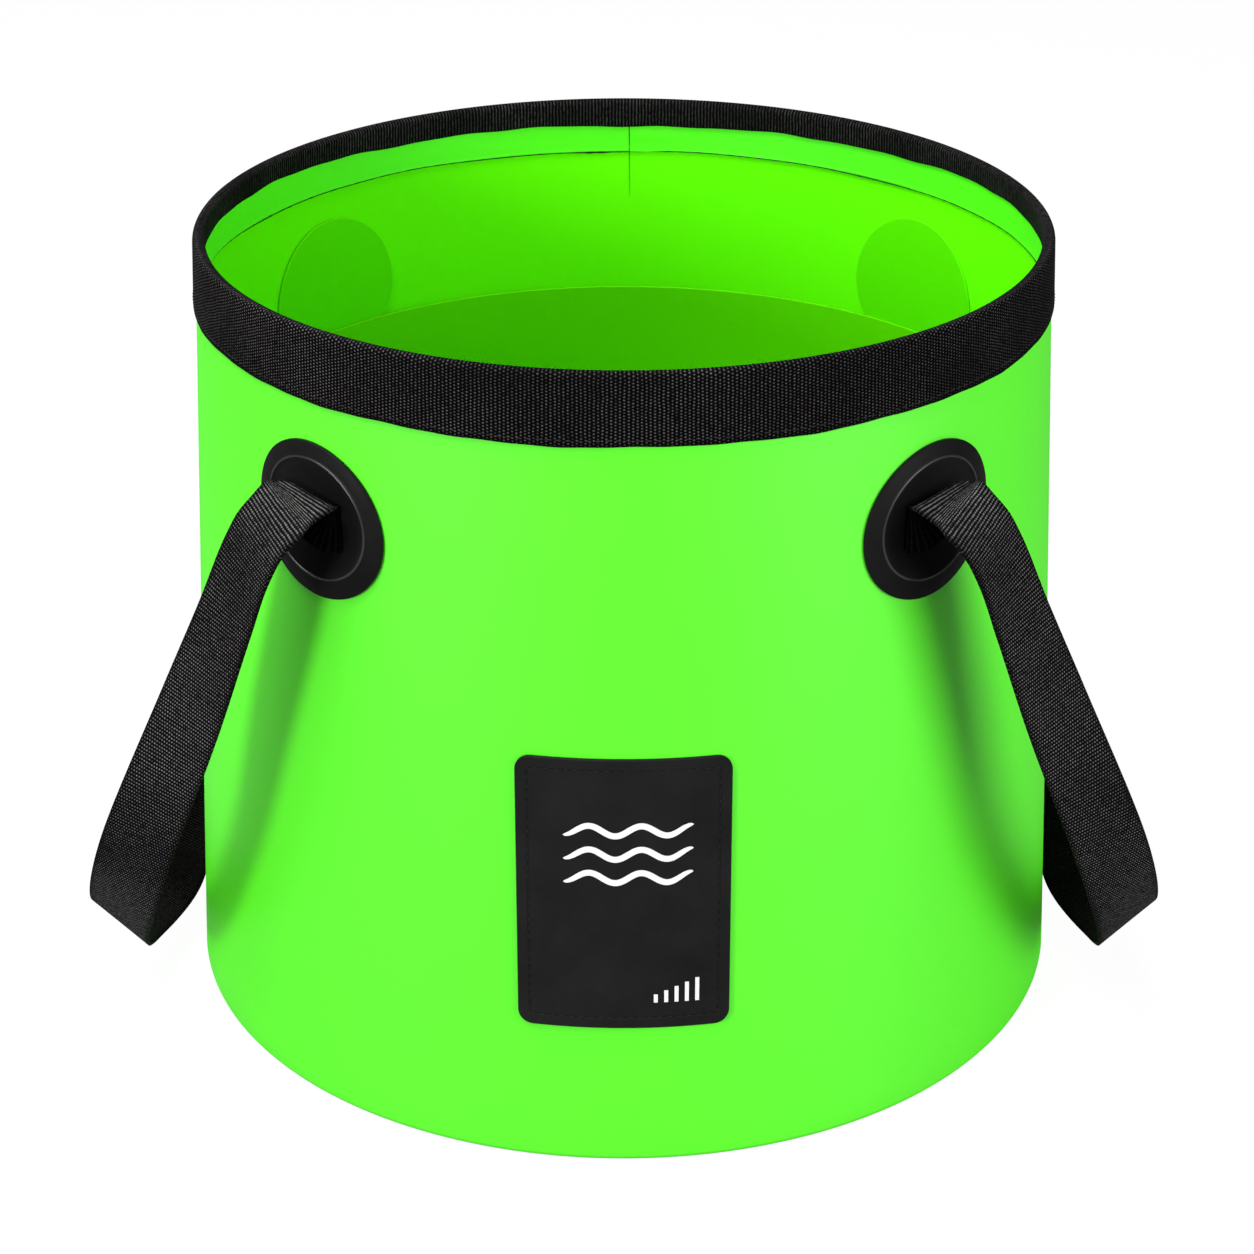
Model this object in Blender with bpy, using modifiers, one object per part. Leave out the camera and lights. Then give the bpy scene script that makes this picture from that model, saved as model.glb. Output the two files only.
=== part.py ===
# Collapsible camp bucket: a folding tarpaulin bucket with a webbing rim and two webbing handles.
# Metres, +Z up. The origin is the middle of the base on the ground, and the front faces -Y.
# The wall is a shallow cone, so pads, patches and the label are made flat and wrapped onto it.

import math

import bmesh
import bpy
from mathutils import Vector

# The standing bucket: its mouth is a little narrower than its base
HEIGHT = 0.2805
BASE_RADIUS = 0.160
MOUTH_INSET = 0.0133
BODY_STEPS = 64

# Gap kept between pieces that touch
CLEARANCE = 0.0003

# Tarpaulin wall: its foot is turned in as a flange, its hem is folded in at the mouth
WALL_THICKNESS = 0.0005
FLANGE_WIDTH = 0.010
FOOT_BEND_RADIUS = 0.0022
FOOT_BEND_STEPS = 3
FOLD_STEPS = 2
FOLD_ROUND_SHARE = 0.98
HEM_DEPTH = 0.0203
HEM_SEAM_HEIGHT = 0.0025
HEM_TAPER_HEIGHT = 0.003

# Plastic strip inside the hem
STIFFENER_THICKNESS = 0.0005
STIFFENER_HEIGHT = 0.012

# Webbing folded over the rim
BINDING_THICKNESS = 0.0008
BINDING_OUTER_HEIGHT = 0.024
BINDING_INNER_HEIGHT = 0.0105

# Round bottom and the second layer inside the wall
PANEL_THICKNESS = 0.0006
PANEL_LIP_HEIGHT = 0.012
LINER_THICKNESS = 0.0005
LINER_BELOW_MOUTH = 0.0779

# Black patch sewn on the front
LABEL_WIDTH = 0.070
LABEL_HEIGHT = 0.0985
LABEL_THICKNESS = 0.0012
LABEL_CORNER_RADIUS = 0.005
LABEL_CORNER_STEPS = 4
LABEL_FOOT_HEIGHT = 0.0528

# Moulded pads: a flange that rises to a fine ridge, round a dish with a slot
PAD_RADIUS = 0.0268
PAD_STEPS = 36
PAD_EDGE_THICKNESS = 0.0013
PAD_EDGE_ROUND = 0.0005
RIDGE_RADIUS = 0.0192
RIDGE_WIDTH = 0.0010
RIDGE_RISE = 0.0005
FLANGE_INNER_THICKNESS = 0.0034
DISH_FLOOR_THICKNESS = 0.0014
DISH_FLOOR_RADIUS = 0.004
DISH_STEPS = 3
DISH_HOLLOW_POWER = 1.6
PAD_BELOW_BINDING = 0.0126
FRONT_PAD_AZIMUTH = math.radians(41.4)
BACK_PAD_AZIMUTH = math.radians(130.8)
SLOT_OFFSET = 0.0105
SLOT_ROOM = 0.0009

# Round tarpaulin patches inside the wall, behind the pads
PATCH_RADIUS = 0.0305
PATCH_THICKNESS = 0.0006
PATCH_STEPS = 40

# Widest flat strip of a piece that is bent round the wall
STRIP_WIDTH = 0.006

# Handle webbing: gathered where it comes out of the slot, full width past the bend
STRAP_WIDTH = 0.0252
STRAP_ROOT_WIDTH = 0.0152
STRAP_THICKNESS = 0.0014
STRAP_SLOT_LIFT = 0.0030
STRAP_EXIT_LIFT = 0.0045
STRAP_REACH = 0.075
STRAP_GROUND_GAP = 0.014
BEND_LENGTH = 0.048
BEND_STEP = 0.0026
LOOP_STEP = 0.0102

# Route of the left handle from the front slot over its bend, down round the bottom of the loop
# and up to the back slot. The first three values are shares of half the distance between the
# slots (front to back), of the reach (outwards from the flare of the wall) and of the drop
# (upwards from the slots). The last three are the direction across the webbing in the same axes.
BEND_SHARES = [
    (-1.025, 0.082, 0.008, -0.18, -0.36, 0.92),
    (-1.024, 0.119, 0.030, -0.55, -0.73, 0.41),
    (-1.025, 0.134, 0.048, -0.72, -0.67, -0.16),
    (-1.031, 0.164, 0.055, -0.71, -0.61, -0.34),
    (-1.048, 0.224, 0.044, -0.79, -0.49, -0.37),
    (-1.060, 0.268, 0.029, -0.81, -0.45, -0.37),
    (-1.060, 0.320, 0.003, -0.79, -0.48, -0.38),
]
LOOP_SHARES = [
    (-1.046, 0.363, -0.032, -0.78, -0.50, -0.38),
    (-1.030, 0.469, -0.145, -0.74, -0.62, -0.22),
    (-1.000, 0.617, -0.306, -0.59, -0.75, -0.31),
    (-0.917, 0.895, -0.603, -0.21, -0.89, -0.40),
    (-0.643, 1.011, -0.821, -0.26, -0.77, -0.59),
    (-0.330, 0.990, -0.922, -0.28, -0.74, -0.61),
    (0.046, 0.915, -0.958, -0.02, -0.82, -0.57),
    (0.395, 0.811, -0.869, 0.12, -0.85, -0.52),
    (0.674, 0.659, -0.710, 0.17, -0.88, -0.44),
    (0.911, 0.507, -0.469, 0.24, -0.92, -0.30),
    (1.026, 0.412, -0.223, 0.51, -0.83, -0.23),
]

# Colours and finishes
TARPAULIN_GREEN = (0.155, 1.000, 0.075)
LINER_GREEN = (0.045, 0.480, 0.004)
PATCH_GREEN = (0.060, 0.640, 0.008)
WEBBING_BLACK = (0.012, 0.012, 0.013)
PAD_BLACK = (0.014, 0.014, 0.015)
LABEL_BLACK = (0.016, 0.016, 0.017)
STRIP_WHITE = (0.700, 0.700, 0.680)

# Smoothness of the pieces, and the least angle between faces that shows as an edge
TARPAULIN_ROUGHNESS = 0.45
BINDING_ROUGHNESS = 0.80
HANDLE_ROUGHNESS = 0.75
PAD_ROUGHNESS = 0.42
LABEL_ROUGHNESS = 0.55
STRIP_ROUGHNESS = 0.50
SHARP_ANGLE = math.radians(35)
WELD_DISTANCE = 0.00001

# What follows from the sizes above
SIDES = {"left": -1, "right": 1}
MOUTH_RADIUS = BASE_RADIUS - MOUTH_INSET
SLOPE = math.atan2(MOUTH_INSET, HEIGHT)
LINER_TOP = HEIGHT - LINER_BELOW_MOUTH
LABEL_CENTRE_HEIGHT = LABEL_FOOT_HEIGHT + LABEL_HEIGHT / 2
PAD_CENTRE_HEIGHT = HEIGHT - BINDING_OUTER_HEIGHT - PAD_BELOW_BINDING - PAD_RADIUS
STRAP_DROP = PAD_CENTRE_HEIGHT - STRAP_GROUND_GAP


def clear_scene():
    for scene_object in list(bpy.data.objects):
        bpy.data.objects.remove(scene_object, do_unlink=True)


def new_collection(name):
    collection = bpy.data.collections.new(name)
    bpy.context.scene.collection.children.link(collection)
    return collection


def material(name, colour, roughness):
    finish = bpy.data.materials.new(name)
    finish.use_nodes = True
    shader = finish.node_tree.nodes["Principled BSDF"]
    shader.inputs["Base Color"].default_value = (*colour, 1.0)
    shader.inputs["Roughness"].default_value = roughness
    shader.inputs["Metallic"].default_value = 0.0
    finish.diffuse_color = (*colour, 1.0)
    return finish


def add_object(name, mesh, collection, finish=None):
    piece = bpy.data.objects.new(name, mesh)
    if finish:
        mesh.materials.append(finish)
    collection.objects.link(piece)
    return piece


def wall_radius(height):
    return BASE_RADIUS - MOUTH_INSET * height / HEIGHT


def flat_facet_radius(radius):
    # Least radius of a turned piece, at the middle of its flat facets
    return radius * math.cos(math.pi / BODY_STEPS)


def rounded(points, radii, steps):
    # A polyline with each inner corner replaced by an arc of its own radius
    result = [Vector(points[0])]
    for before, corner, after, radius in zip(points, points[1:], points[2:], radii):
        corner = Vector(corner)
        towards_before = (Vector(before) - corner).normalized()
        towards_after = (Vector(after) - corner).normalized()
        half_angle = towards_before.angle(towards_after) / 2
        bisector = (towards_before + towards_after).normalized()
        centre = corner + bisector * (radius / math.sin(half_angle))
        reach = radius / math.tan(half_angle)
        start = corner + towards_before * reach - centre
        end = corner + towards_after * reach - centre
        sweep = start.angle_signed(end)
        for step in range(steps + 1):
            turn = -sweep * step / steps
            cosine = math.cos(turn)
            sine = math.sin(turn)
            spoke = Vector((cosine * start.x - sine * start.y, sine * start.x + cosine * start.y))
            result.append(centre + spoke)
    result.append(Vector(points[-1]))
    return result


def profile_mesh(name, points):
    mesh = bpy.data.meshes.new(name)
    edges = [(index, index + 1) for index in range(len(points) - 1)]
    mesh.from_pydata([(radius, 0.0, height) for radius, height in points], edges, [])
    return mesh


def add_screw(piece, steps):
    screw = piece.modifiers.new("Turned", "SCREW")
    screw.axis = "Z"
    screw.angle = math.tau
    screw.steps = steps
    screw.render_steps = steps
    screw.use_smooth_shade = True
    screw.use_merge_vertices = True
    screw.merge_threshold = WELD_DISTANCE


def turned_sheet(name, points, thickness, collection, finish):
    # A sheet whose middle line is turned about Z and thickened to both sides
    piece = add_object(name, profile_mesh(name, points), collection, finish)
    add_screw(piece, BODY_STEPS)
    shell = piece.modifiers.new("Thickness", "SOLIDIFY")
    shell.thickness = thickness
    shell.offset = 0.0
    shell.use_even_offset = True
    return piece


def evaluated_mesh(piece):
    bpy.context.view_layer.update()
    graph = bpy.context.evaluated_depsgraph_get()
    mesh = bpy.data.meshes.new_from_object(piece.evaluated_get(graph), depsgraph=graph)
    mesh.name = piece.name
    return mesh


def cut_into_strips(bm, half_width):
    # Cuts across a flat piece, close enough together for it to bend round the wall
    count = math.ceil(2 * half_width / STRIP_WIDTH)
    for index in range(1, count):
        place = half_width * (2 * index / count - 1)
        geometry = bm.verts[:] + bm.edges[:] + bm.faces[:]
        bmesh.ops.bisect_plane(bm, geom=geometry, plane_co=(place, 0, 0), plane_no=(1, 0, 0))


def wrap_on_wall(bm, azimuth, height, lift):
    # X runs round the wall, Y up it and Z out of it
    for vertex in bm.verts:
        across, along, out = vertex.co
        foot_height = height + along * math.cos(SLOPE)
        foot_radius = wall_radius(foot_height)
        angle = azimuth + across / foot_radius
        radius = foot_radius + (out + lift) * math.cos(SLOPE)
        vertex.co.x = math.sin(angle) * radius
        vertex.co.y = -math.cos(angle) * radius
        vertex.co.z = foot_height + (out + lift) * math.sin(SLOPE)


def finish_mesh(bm, name):
    mesh = bpy.data.meshes.new(name)
    bm.to_mesh(mesh)
    bm.free()
    mesh.shade_smooth()
    mesh.set_sharp_from_angle(angle=SHARP_ANGLE)
    return mesh


# Middle lines of the layers at the mouth, counted inwards from the wall's outer face
WALL_MIDDLE = WALL_THICKNESS / 2
HEM_PITCH = WALL_THICKNESS + STIFFENER_THICKNESS + 2 * CLEARANCE
SEAM_PITCH = WALL_THICKNESS + CLEARANCE
BINDING_PITCH = HEM_PITCH + WALL_THICKNESS + BINDING_THICKNESS + 2 * CLEARANCE
FOLD_CENTRE_HEIGHT = HEIGHT - (BINDING_PITCH + BINDING_THICKNESS) / 2
FOLD_TOP = FOLD_CENTRE_HEIGHT + HEM_PITCH / 2
STIFFENER_TOP = FOLD_CENTRE_HEIGHT - CLEARANCE
STIFFENER_FOOT = STIFFENER_TOP - STIFFENER_HEIGHT
HEM_FOOT = min(HEIGHT - HEM_DEPTH, STIFFENER_FOOT - HEM_TAPER_HEIGHT - HEM_SEAM_HEIGHT)


def build_body_wall(collection, finish):
    foot = (BASE_RADIUS - FLANGE_WIDTH, WALL_MIDDLE)
    foot_corner = (BASE_RADIUS - WALL_MIDDLE, WALL_MIDDLE)
    fold_outer = (wall_radius(FOLD_TOP) - WALL_MIDDLE, FOLD_TOP)
    fold_inner = (fold_outer[0] - HEM_PITCH, FOLD_TOP)
    pocket_foot = (wall_radius(STIFFENER_FOOT) - WALL_MIDDLE - HEM_PITCH, STIFFENER_FOOT)
    seam_top_height = STIFFENER_FOOT - HEM_TAPER_HEIGHT
    seam_top = (wall_radius(seam_top_height) - WALL_MIDDLE - SEAM_PITCH, seam_top_height)
    seam_foot = (wall_radius(HEM_FOOT) - WALL_MIDDLE - SEAM_PITCH, HEM_FOOT)
    fold_radius = HEM_PITCH / 2 * FOLD_ROUND_SHARE
    foot_line = rounded([foot, foot_corner, fold_outer], [FOOT_BEND_RADIUS], FOOT_BEND_STEPS)
    fold_line = rounded([foot_corner, fold_outer, fold_inner, pocket_foot],
                        [fold_radius, fold_radius], FOLD_STEPS)
    points = foot_line[:-1] + fold_line[1:] + [Vector(seam_top), Vector(seam_foot)]
    return turned_sheet("body_wall", points, WALL_THICKNESS, collection, finish)


def build_rim_stiffener(collection, finish):
    inward = WALL_THICKNESS + CLEARANCE + STIFFENER_THICKNESS / 2
    points = [(wall_radius(height) - inward, height) for height in (STIFFENER_TOP, STIFFENER_FOOT)]
    return turned_sheet("rim_stiffener", points, STIFFENER_THICKNESS, collection, finish)


def build_rim_binding(collection, finish):
    outward = CLEARANCE + BINDING_THICKNESS / 2
    top = HEIGHT - BINDING_THICKNESS / 2
    outer_foot_height = HEIGHT - BINDING_OUTER_HEIGHT
    inner_foot_height = HEIGHT - BINDING_INNER_HEIGHT
    outer_foot = (wall_radius(outer_foot_height) + outward, outer_foot_height)
    outer_top = (wall_radius(top) + outward, top)
    inner_top = (outer_top[0] - BINDING_PITCH, top)
    inner_foot = (wall_radius(inner_foot_height) + outward - BINDING_PITCH, inner_foot_height)
    fold_radius = BINDING_PITCH / 2 * FOLD_ROUND_SHARE
    points = rounded([outer_foot, outer_top, inner_top, inner_foot],
                     [fold_radius, fold_radius], FOLD_STEPS)
    return turned_sheet("rim_binding", points, BINDING_THICKNESS, collection, finish)


def build_base_panel(collection, finish):
    # The disc lies on the flange and its lip stands inside the wall
    middle_height = WALL_THICKNESS + CLEARANCE + PANEL_THICKNESS / 2
    inward = WALL_THICKNESS + CLEARANCE + PANEL_THICKNESS / 2
    lip_top = (wall_radius(PANEL_LIP_HEIGHT) - inward, PANEL_LIP_HEIGHT)
    corner = (wall_radius(middle_height) - inward, middle_height)
    bend = FOOT_BEND_RADIUS - WALL_THICKNESS / 2 - CLEARANCE - PANEL_THICKNESS / 2
    points = rounded([lip_top, corner, (0.0, middle_height)], [bend], FOOT_BEND_STEPS)
    return turned_sheet("base_panel", points, PANEL_THICKNESS, collection, finish)


def patch_lift():
    # Outer face of an inside patch, clear of the flat facets of the wall's inner face
    inner_radius = wall_radius(PAD_CENTRE_HEIGHT - PATCH_RADIUS) - WALL_THICKNESS
    facet_depth = inner_radius - flat_facet_radius(inner_radius)
    return -(WALL_THICKNESS + facet_depth + CLEARANCE)


def build_inner_liner(collection, finish):
    inward = PATCH_THICKNESS + CLEARANCE + LINER_THICKNESS / 2 - patch_lift()
    panel_top = WALL_THICKNESS + CLEARANCE + PANEL_THICKNESS
    foot = panel_top + FOOT_BEND_RADIUS
    points = [(wall_radius(height) - inward, height) for height in (LINER_TOP, foot)]
    return turned_sheet("inner_liner", points, LINER_THICKNESS, collection, finish)


def build_label_patch(collection, finish):
    bm = bmesh.new()
    bmesh.ops.create_cube(bm, size=1.0)
    bmesh.ops.scale(bm, vec=(LABEL_WIDTH, LABEL_HEIGHT, LABEL_THICKNESS), verts=bm.verts[:])
    bmesh.ops.translate(bm, vec=(0, 0, LABEL_THICKNESS / 2), verts=bm.verts[:])
    corners = [edge for edge in bm.edges if edge.verts[0].co.xy == edge.verts[1].co.xy]
    bmesh.ops.bevel(bm, geom=corners, offset=LABEL_CORNER_RADIUS, segments=LABEL_CORNER_STEPS,
                    profile=0.5, affect="EDGES")
    cut_into_strips(bm, LABEL_WIDTH / 2)
    wrap_on_wall(bm, 0.0, LABEL_CENTRE_HEIGHT, CLEARANCE)
    return add_object("label_patch", finish_mesh(bm, "label_patch"), collection, finish)


def pad_profile():
    # From the middle of the dish out over the ridge and the flange, and back underneath
    dish_rim = RIDGE_RADIUS - RIDGE_WIDTH / 2
    depth = FLANGE_INNER_THICKNESS - DISH_FLOOR_THICKNESS
    points = [(0.0, DISH_FLOOR_THICKNESS)]
    for step in range(DISH_STEPS + 1):
        share = step / DISH_STEPS
        radius = DISH_FLOOR_RADIUS + (dish_rim - DISH_FLOOR_RADIUS) * share
        points.append((radius, DISH_FLOOR_THICKNESS + depth * share ** DISH_HOLLOW_POWER))
    points.append((RIDGE_RADIUS, FLANGE_INNER_THICKNESS + RIDGE_RISE))
    points.append((RIDGE_RADIUS + RIDGE_WIDTH / 2, FLANGE_INNER_THICKNESS))
    points.append((PAD_RADIUS - PAD_EDGE_ROUND, PAD_EDGE_THICKNESS))
    points.append((PAD_RADIUS, PAD_EDGE_THICKNESS - PAD_EDGE_ROUND))
    points.append((PAD_RADIUS, 0.0))
    points.append((RIDGE_RADIUS, 0.0))
    points.append((RIDGE_RADIUS / 2, 0.0))
    points.append((0.0, 0.0))
    return points


def build_pad(name, azimuth, slot_place, collection, cutters, finish):
    blank = add_object(name + "_blank", profile_mesh(name, pad_profile()), cutters)
    add_screw(blank, PAD_STEPS)
    cutter_mesh = bpy.data.meshes.new(name + "_slot_cutter")
    bm = bmesh.new()
    bmesh.ops.create_cube(bm, size=1.0)
    slot_width = STRAP_THICKNESS + 2 * SLOT_ROOM
    slot_height = STRAP_ROOT_WIDTH + 2 * SLOT_ROOM
    bmesh.ops.scale(bm, vec=(slot_width, slot_height, 4 * FLANGE_INNER_THICKNESS), verts=bm.verts[:])
    bm.to_mesh(cutter_mesh)
    bm.free()
    cutter = add_object(name + "_slot_cutter", cutter_mesh, cutters)
    cutter.location.x = slot_place
    for helper in (blank, cutter):
        helper.hide_render = True
        helper.display_type = "WIRE"
    slot = blank.modifiers.new("Slot", "BOOLEAN")
    slot.operation = "DIFFERENCE"
    slot.solver = "EXACT"
    slot.object = cutter
    bm = bmesh.new()
    bm.from_mesh(evaluated_mesh(blank))
    wrap_on_wall(bm, azimuth, PAD_CENTRE_HEIGHT, CLEARANCE)
    return add_object(name, finish_mesh(bm, name), collection, finish)


def build_patch(name, azimuth, collection, finish):
    bm = bmesh.new()
    bmesh.ops.create_cone(bm, cap_ends=True, segments=PATCH_STEPS, radius1=PATCH_RADIUS,
                          radius2=PATCH_RADIUS, depth=PATCH_THICKNESS)
    bmesh.ops.translate(bm, vec=(0, 0, -PATCH_THICKNESS / 2), verts=bm.verts[:])
    cut_into_strips(bm, PATCH_RADIUS)
    wrap_on_wall(bm, azimuth, PAD_CENTRE_HEIGHT, patch_lift())
    return add_object(name, finish_mesh(bm, name), collection, finish)


# Axes of the left handle: from the middle between its slots, along front to back, out, and up
PAD_WALL_RADIUS = wall_radius(PAD_CENTRE_HEIGHT)
SLOT_RADIUS = PAD_WALL_RADIUS + DISH_FLOOR_THICKNESS
SLOT_TURN = SLOT_OFFSET / PAD_WALL_RADIUS
FRONT_SLOT_AZIMUTH = FRONT_PAD_AZIMUTH - SLOT_TURN
BACK_SLOT_AZIMUTH = BACK_PAD_AZIMUTH + SLOT_TURN


def left_slot(azimuth):
    return Vector((-math.sin(azimuth), -math.cos(azimuth), 0.0)) * SLOT_RADIUS


FRONT_SLOT = left_slot(FRONT_SLOT_AZIMUTH)
BACK_SLOT = left_slot(BACK_SLOT_AZIMUTH)
HANDLE_ALONG = (BACK_SLOT - FRONT_SLOT).normalized()
HANDLE_OUT = Vector((-HANDLE_ALONG.y, HANDLE_ALONG.x, 0.0))
HANDLE_MIDDLE = (FRONT_SLOT + BACK_SLOT) / 2
HALF_SPAN = (BACK_SLOT - FRONT_SLOT).length / 2


def in_handle_axes(along, out, up):
    middle = HANDLE_MIDDLE + Vector((0.0, 0.0, PAD_CENTRE_HEIGHT))
    return middle + HANDLE_ALONG * along + HANDLE_OUT * out + Vector((0.0, 0.0, up))


def station(shares, width):
    # Middle, near edge and far edge of the webbing
    along, out, up, cross_along, cross_out, cross_up = shares
    flare = -up * STRAP_DROP * math.tan(SLOPE)
    place = in_handle_axes(along * HALF_SPAN, out * STRAP_REACH + flare, up * STRAP_DROP)
    across = HANDLE_ALONG * cross_along + HANDLE_OUT * cross_out + Vector((0.0, 0.0, cross_up))
    half = across.normalized() * width / 2
    return [place, place + half, place - half]


def root_stations(azimuth):
    # The webbing stands in the slot along the wall, from just off the wall to above the dish
    outwards = Vector((-math.sin(azimuth), -math.cos(azimuth), 0.0))
    up_the_wall = Vector((0.0, 0.0, math.cos(SLOPE))) - outwards * math.sin(SLOPE)
    half = up_the_wall * STRAP_ROOT_WIDTH / 2
    stations = []
    for lift in (CLEARANCE, STRAP_SLOT_LIFT, STRAP_EXIT_LIFT):
        place = outwards * (PAD_WALL_RADIUS + lift) + Vector((0.0, 0.0, PAD_CENTRE_HEIGHT))
        stations.append([place, place + half, place - half])
    return stations


def mirrored_end(shares):
    along, out, up, cross_along, cross_out, cross_up = shares
    return (-along, out, up, -cross_along, cross_out, cross_up)


def handle_stations():
    # Gathered in the slot, at full width from the sixth station of the bend
    gathered_shares = (-0.15, -0.25, 0.0, 0.50, 0.80, 1.0, 1.0)
    widths = [STRAP_ROOT_WIDTH + (STRAP_WIDTH - STRAP_ROOT_WIDTH) * share for share in gathered_shares]
    front = [station(row, width) for row, width in zip(BEND_SHARES, widths)]
    back = [station(mirrored_end(row), width) for row, width in zip(BEND_SHARES, widths)]
    loop = [station(row, STRAP_WIDTH) for row in LOOP_SHARES]
    return (root_stations(FRONT_SLOT_AZIMUTH) + front + loop
            + back[::-1] + root_stations(BACK_SLOT_AZIMUTH)[::-1])


def distances(stations):
    # Distance of each station along the route
    marks = [0.0]
    for (place, near, far), (next_place, next_near, next_far) in zip(stations, stations[1:]):
        marks.append(marks[-1] + (next_place - place).length)
    return marks


def slope_at(values, marks, index):
    spans = [marks[place + 1] - marks[place] for place in range(len(marks) - 1)]
    rises = [(values[place + 1] - values[place]) / span for place, span in enumerate(spans)]
    if index == 0:
        return rises[0]
    if index == len(spans):
        return rises[-1]
    before, after = spans[index - 1], spans[index]
    return (rises[index - 1] * after + rises[index] * before) / (before + after)


def smooth(values, marks, mark):
    # Cubic curve through the values, paced by their distances along the route
    index = max(place for place in range(len(marks) - 1) if place == 0 or marks[place] <= mark)
    span = marks[index + 1] - marks[index]
    share = (mark - marks[index]) / span
    start_slope = slope_at(values, marks, index) * span
    end_slope = slope_at(values, marks, index + 1) * span
    rise = values[index + 1] - values[index]
    curve = rise * 3 - start_slope * 2 - end_slope
    turn = start_slope + end_slope - rise * 2
    return values[index] + start_slope * share + curve * share ** 2 + turn * share ** 3


def strap_row(stations, marks, mark):
    # Far edge, middle and near edge of the webbing at one distance along the route
    near = smooth([near for place, near, far in stations], marks, mark)
    far = smooth([far for place, near, far in stations], marks, mark)
    return [far, (near + far) / 2, near]


def strap_rows():
    # Rows of points across the webbing, close together over the bends at both ends
    stations = handle_stations()
    marks = distances(stations)
    bend_steps = math.ceil(BEND_LENGTH / BEND_STEP)
    loop_steps = math.ceil((marks[-1] - 2 * BEND_LENGTH) / LOOP_STEP)
    places = [BEND_LENGTH * step / bend_steps for step in range(bend_steps)]
    loop_length = marks[-1] - 2 * BEND_LENGTH
    places += [BEND_LENGTH + loop_length * step / loop_steps for step in range(loop_steps)]
    places += [marks[-1] - BEND_LENGTH * step / bend_steps for step in range(bend_steps, -1, -1)]
    return [strap_row(stations, marks, place) for place in places]


def build_webbing(name, cutters):
    # The whole length of webbing of the left handle, from slot to slot
    bm = bmesh.new()
    rows = [[bm.verts.new(point) for point in row] for row in strap_rows()]
    for row, following in zip(rows, rows[1:]):
        bm.faces.new((row[0], row[1], following[1], following[0]))
        bm.faces.new((row[1], row[2], following[2], following[1]))
    mesh = bpy.data.meshes.new(name)
    bm.to_mesh(mesh)
    bm.free()
    webbing = add_object(name, mesh, cutters)
    webbing.hide_render = True
    webbing.display_type = "WIRE"
    thickness = webbing.modifiers.new("Thickness", "SOLIDIFY")
    thickness.thickness = STRAP_THICKNESS
    thickness.offset = 0.0
    return webbing


def hinge_line_middle():
    # The handle swings about the line just above the crests of its two bends
    crest = max((row[0] for row in strap_rows()), key=lambda point: point.z)
    out = HANDLE_OUT.dot(crest - HANDLE_MIDDLE)
    place = HANDLE_MIDDLE + HANDLE_OUT * out
    place.z = crest.z + STRAP_THICKNESS
    return place


def cut_off(bm, place, outwards):
    # Takes away what lies on the outward side of a plane and closes the cut
    geometry = bm.verts[:] + bm.edges[:] + bm.faces[:]
    bmesh.ops.bisect_plane(bm, geom=geometry, plane_co=place, plane_no=outwards, clear_outer=True)
    rims = [edge for edge in bm.edges if edge.is_boundary]
    if rims:
        bmesh.ops.holes_fill(bm, edges=rims)


def webbing_part(name, webbing, cuts, side, collection, finish):
    # One stretch of the webbing between its cuts, mirrored for the right handle
    bm = bmesh.new()
    bm.from_mesh(evaluated_mesh(webbing))
    for place, outwards in cuts:
        cut_off(bm, place, outwards)
    if side > 0:
        bmesh.ops.scale(bm, vec=(-1.0, 1.0, 1.0), verts=bm.verts[:])
        bmesh.ops.reverse_faces(bm, faces=bm.faces[:])
    bmesh.ops.triangulate(bm, faces=bm.faces[:])
    return add_object(name, finish_mesh(bm, name), collection, finish)


def add_joint(name, place, collection):
    joint = bpy.data.objects.new(name, None)
    joint.location = place
    joint.empty_display_size = FLANGE_WIDTH
    collection.objects.link(joint)
    return joint


def attach(piece, joint):
    piece.parent = joint
    piece.matrix_parent_inverse = joint.matrix_world.inverted()


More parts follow.
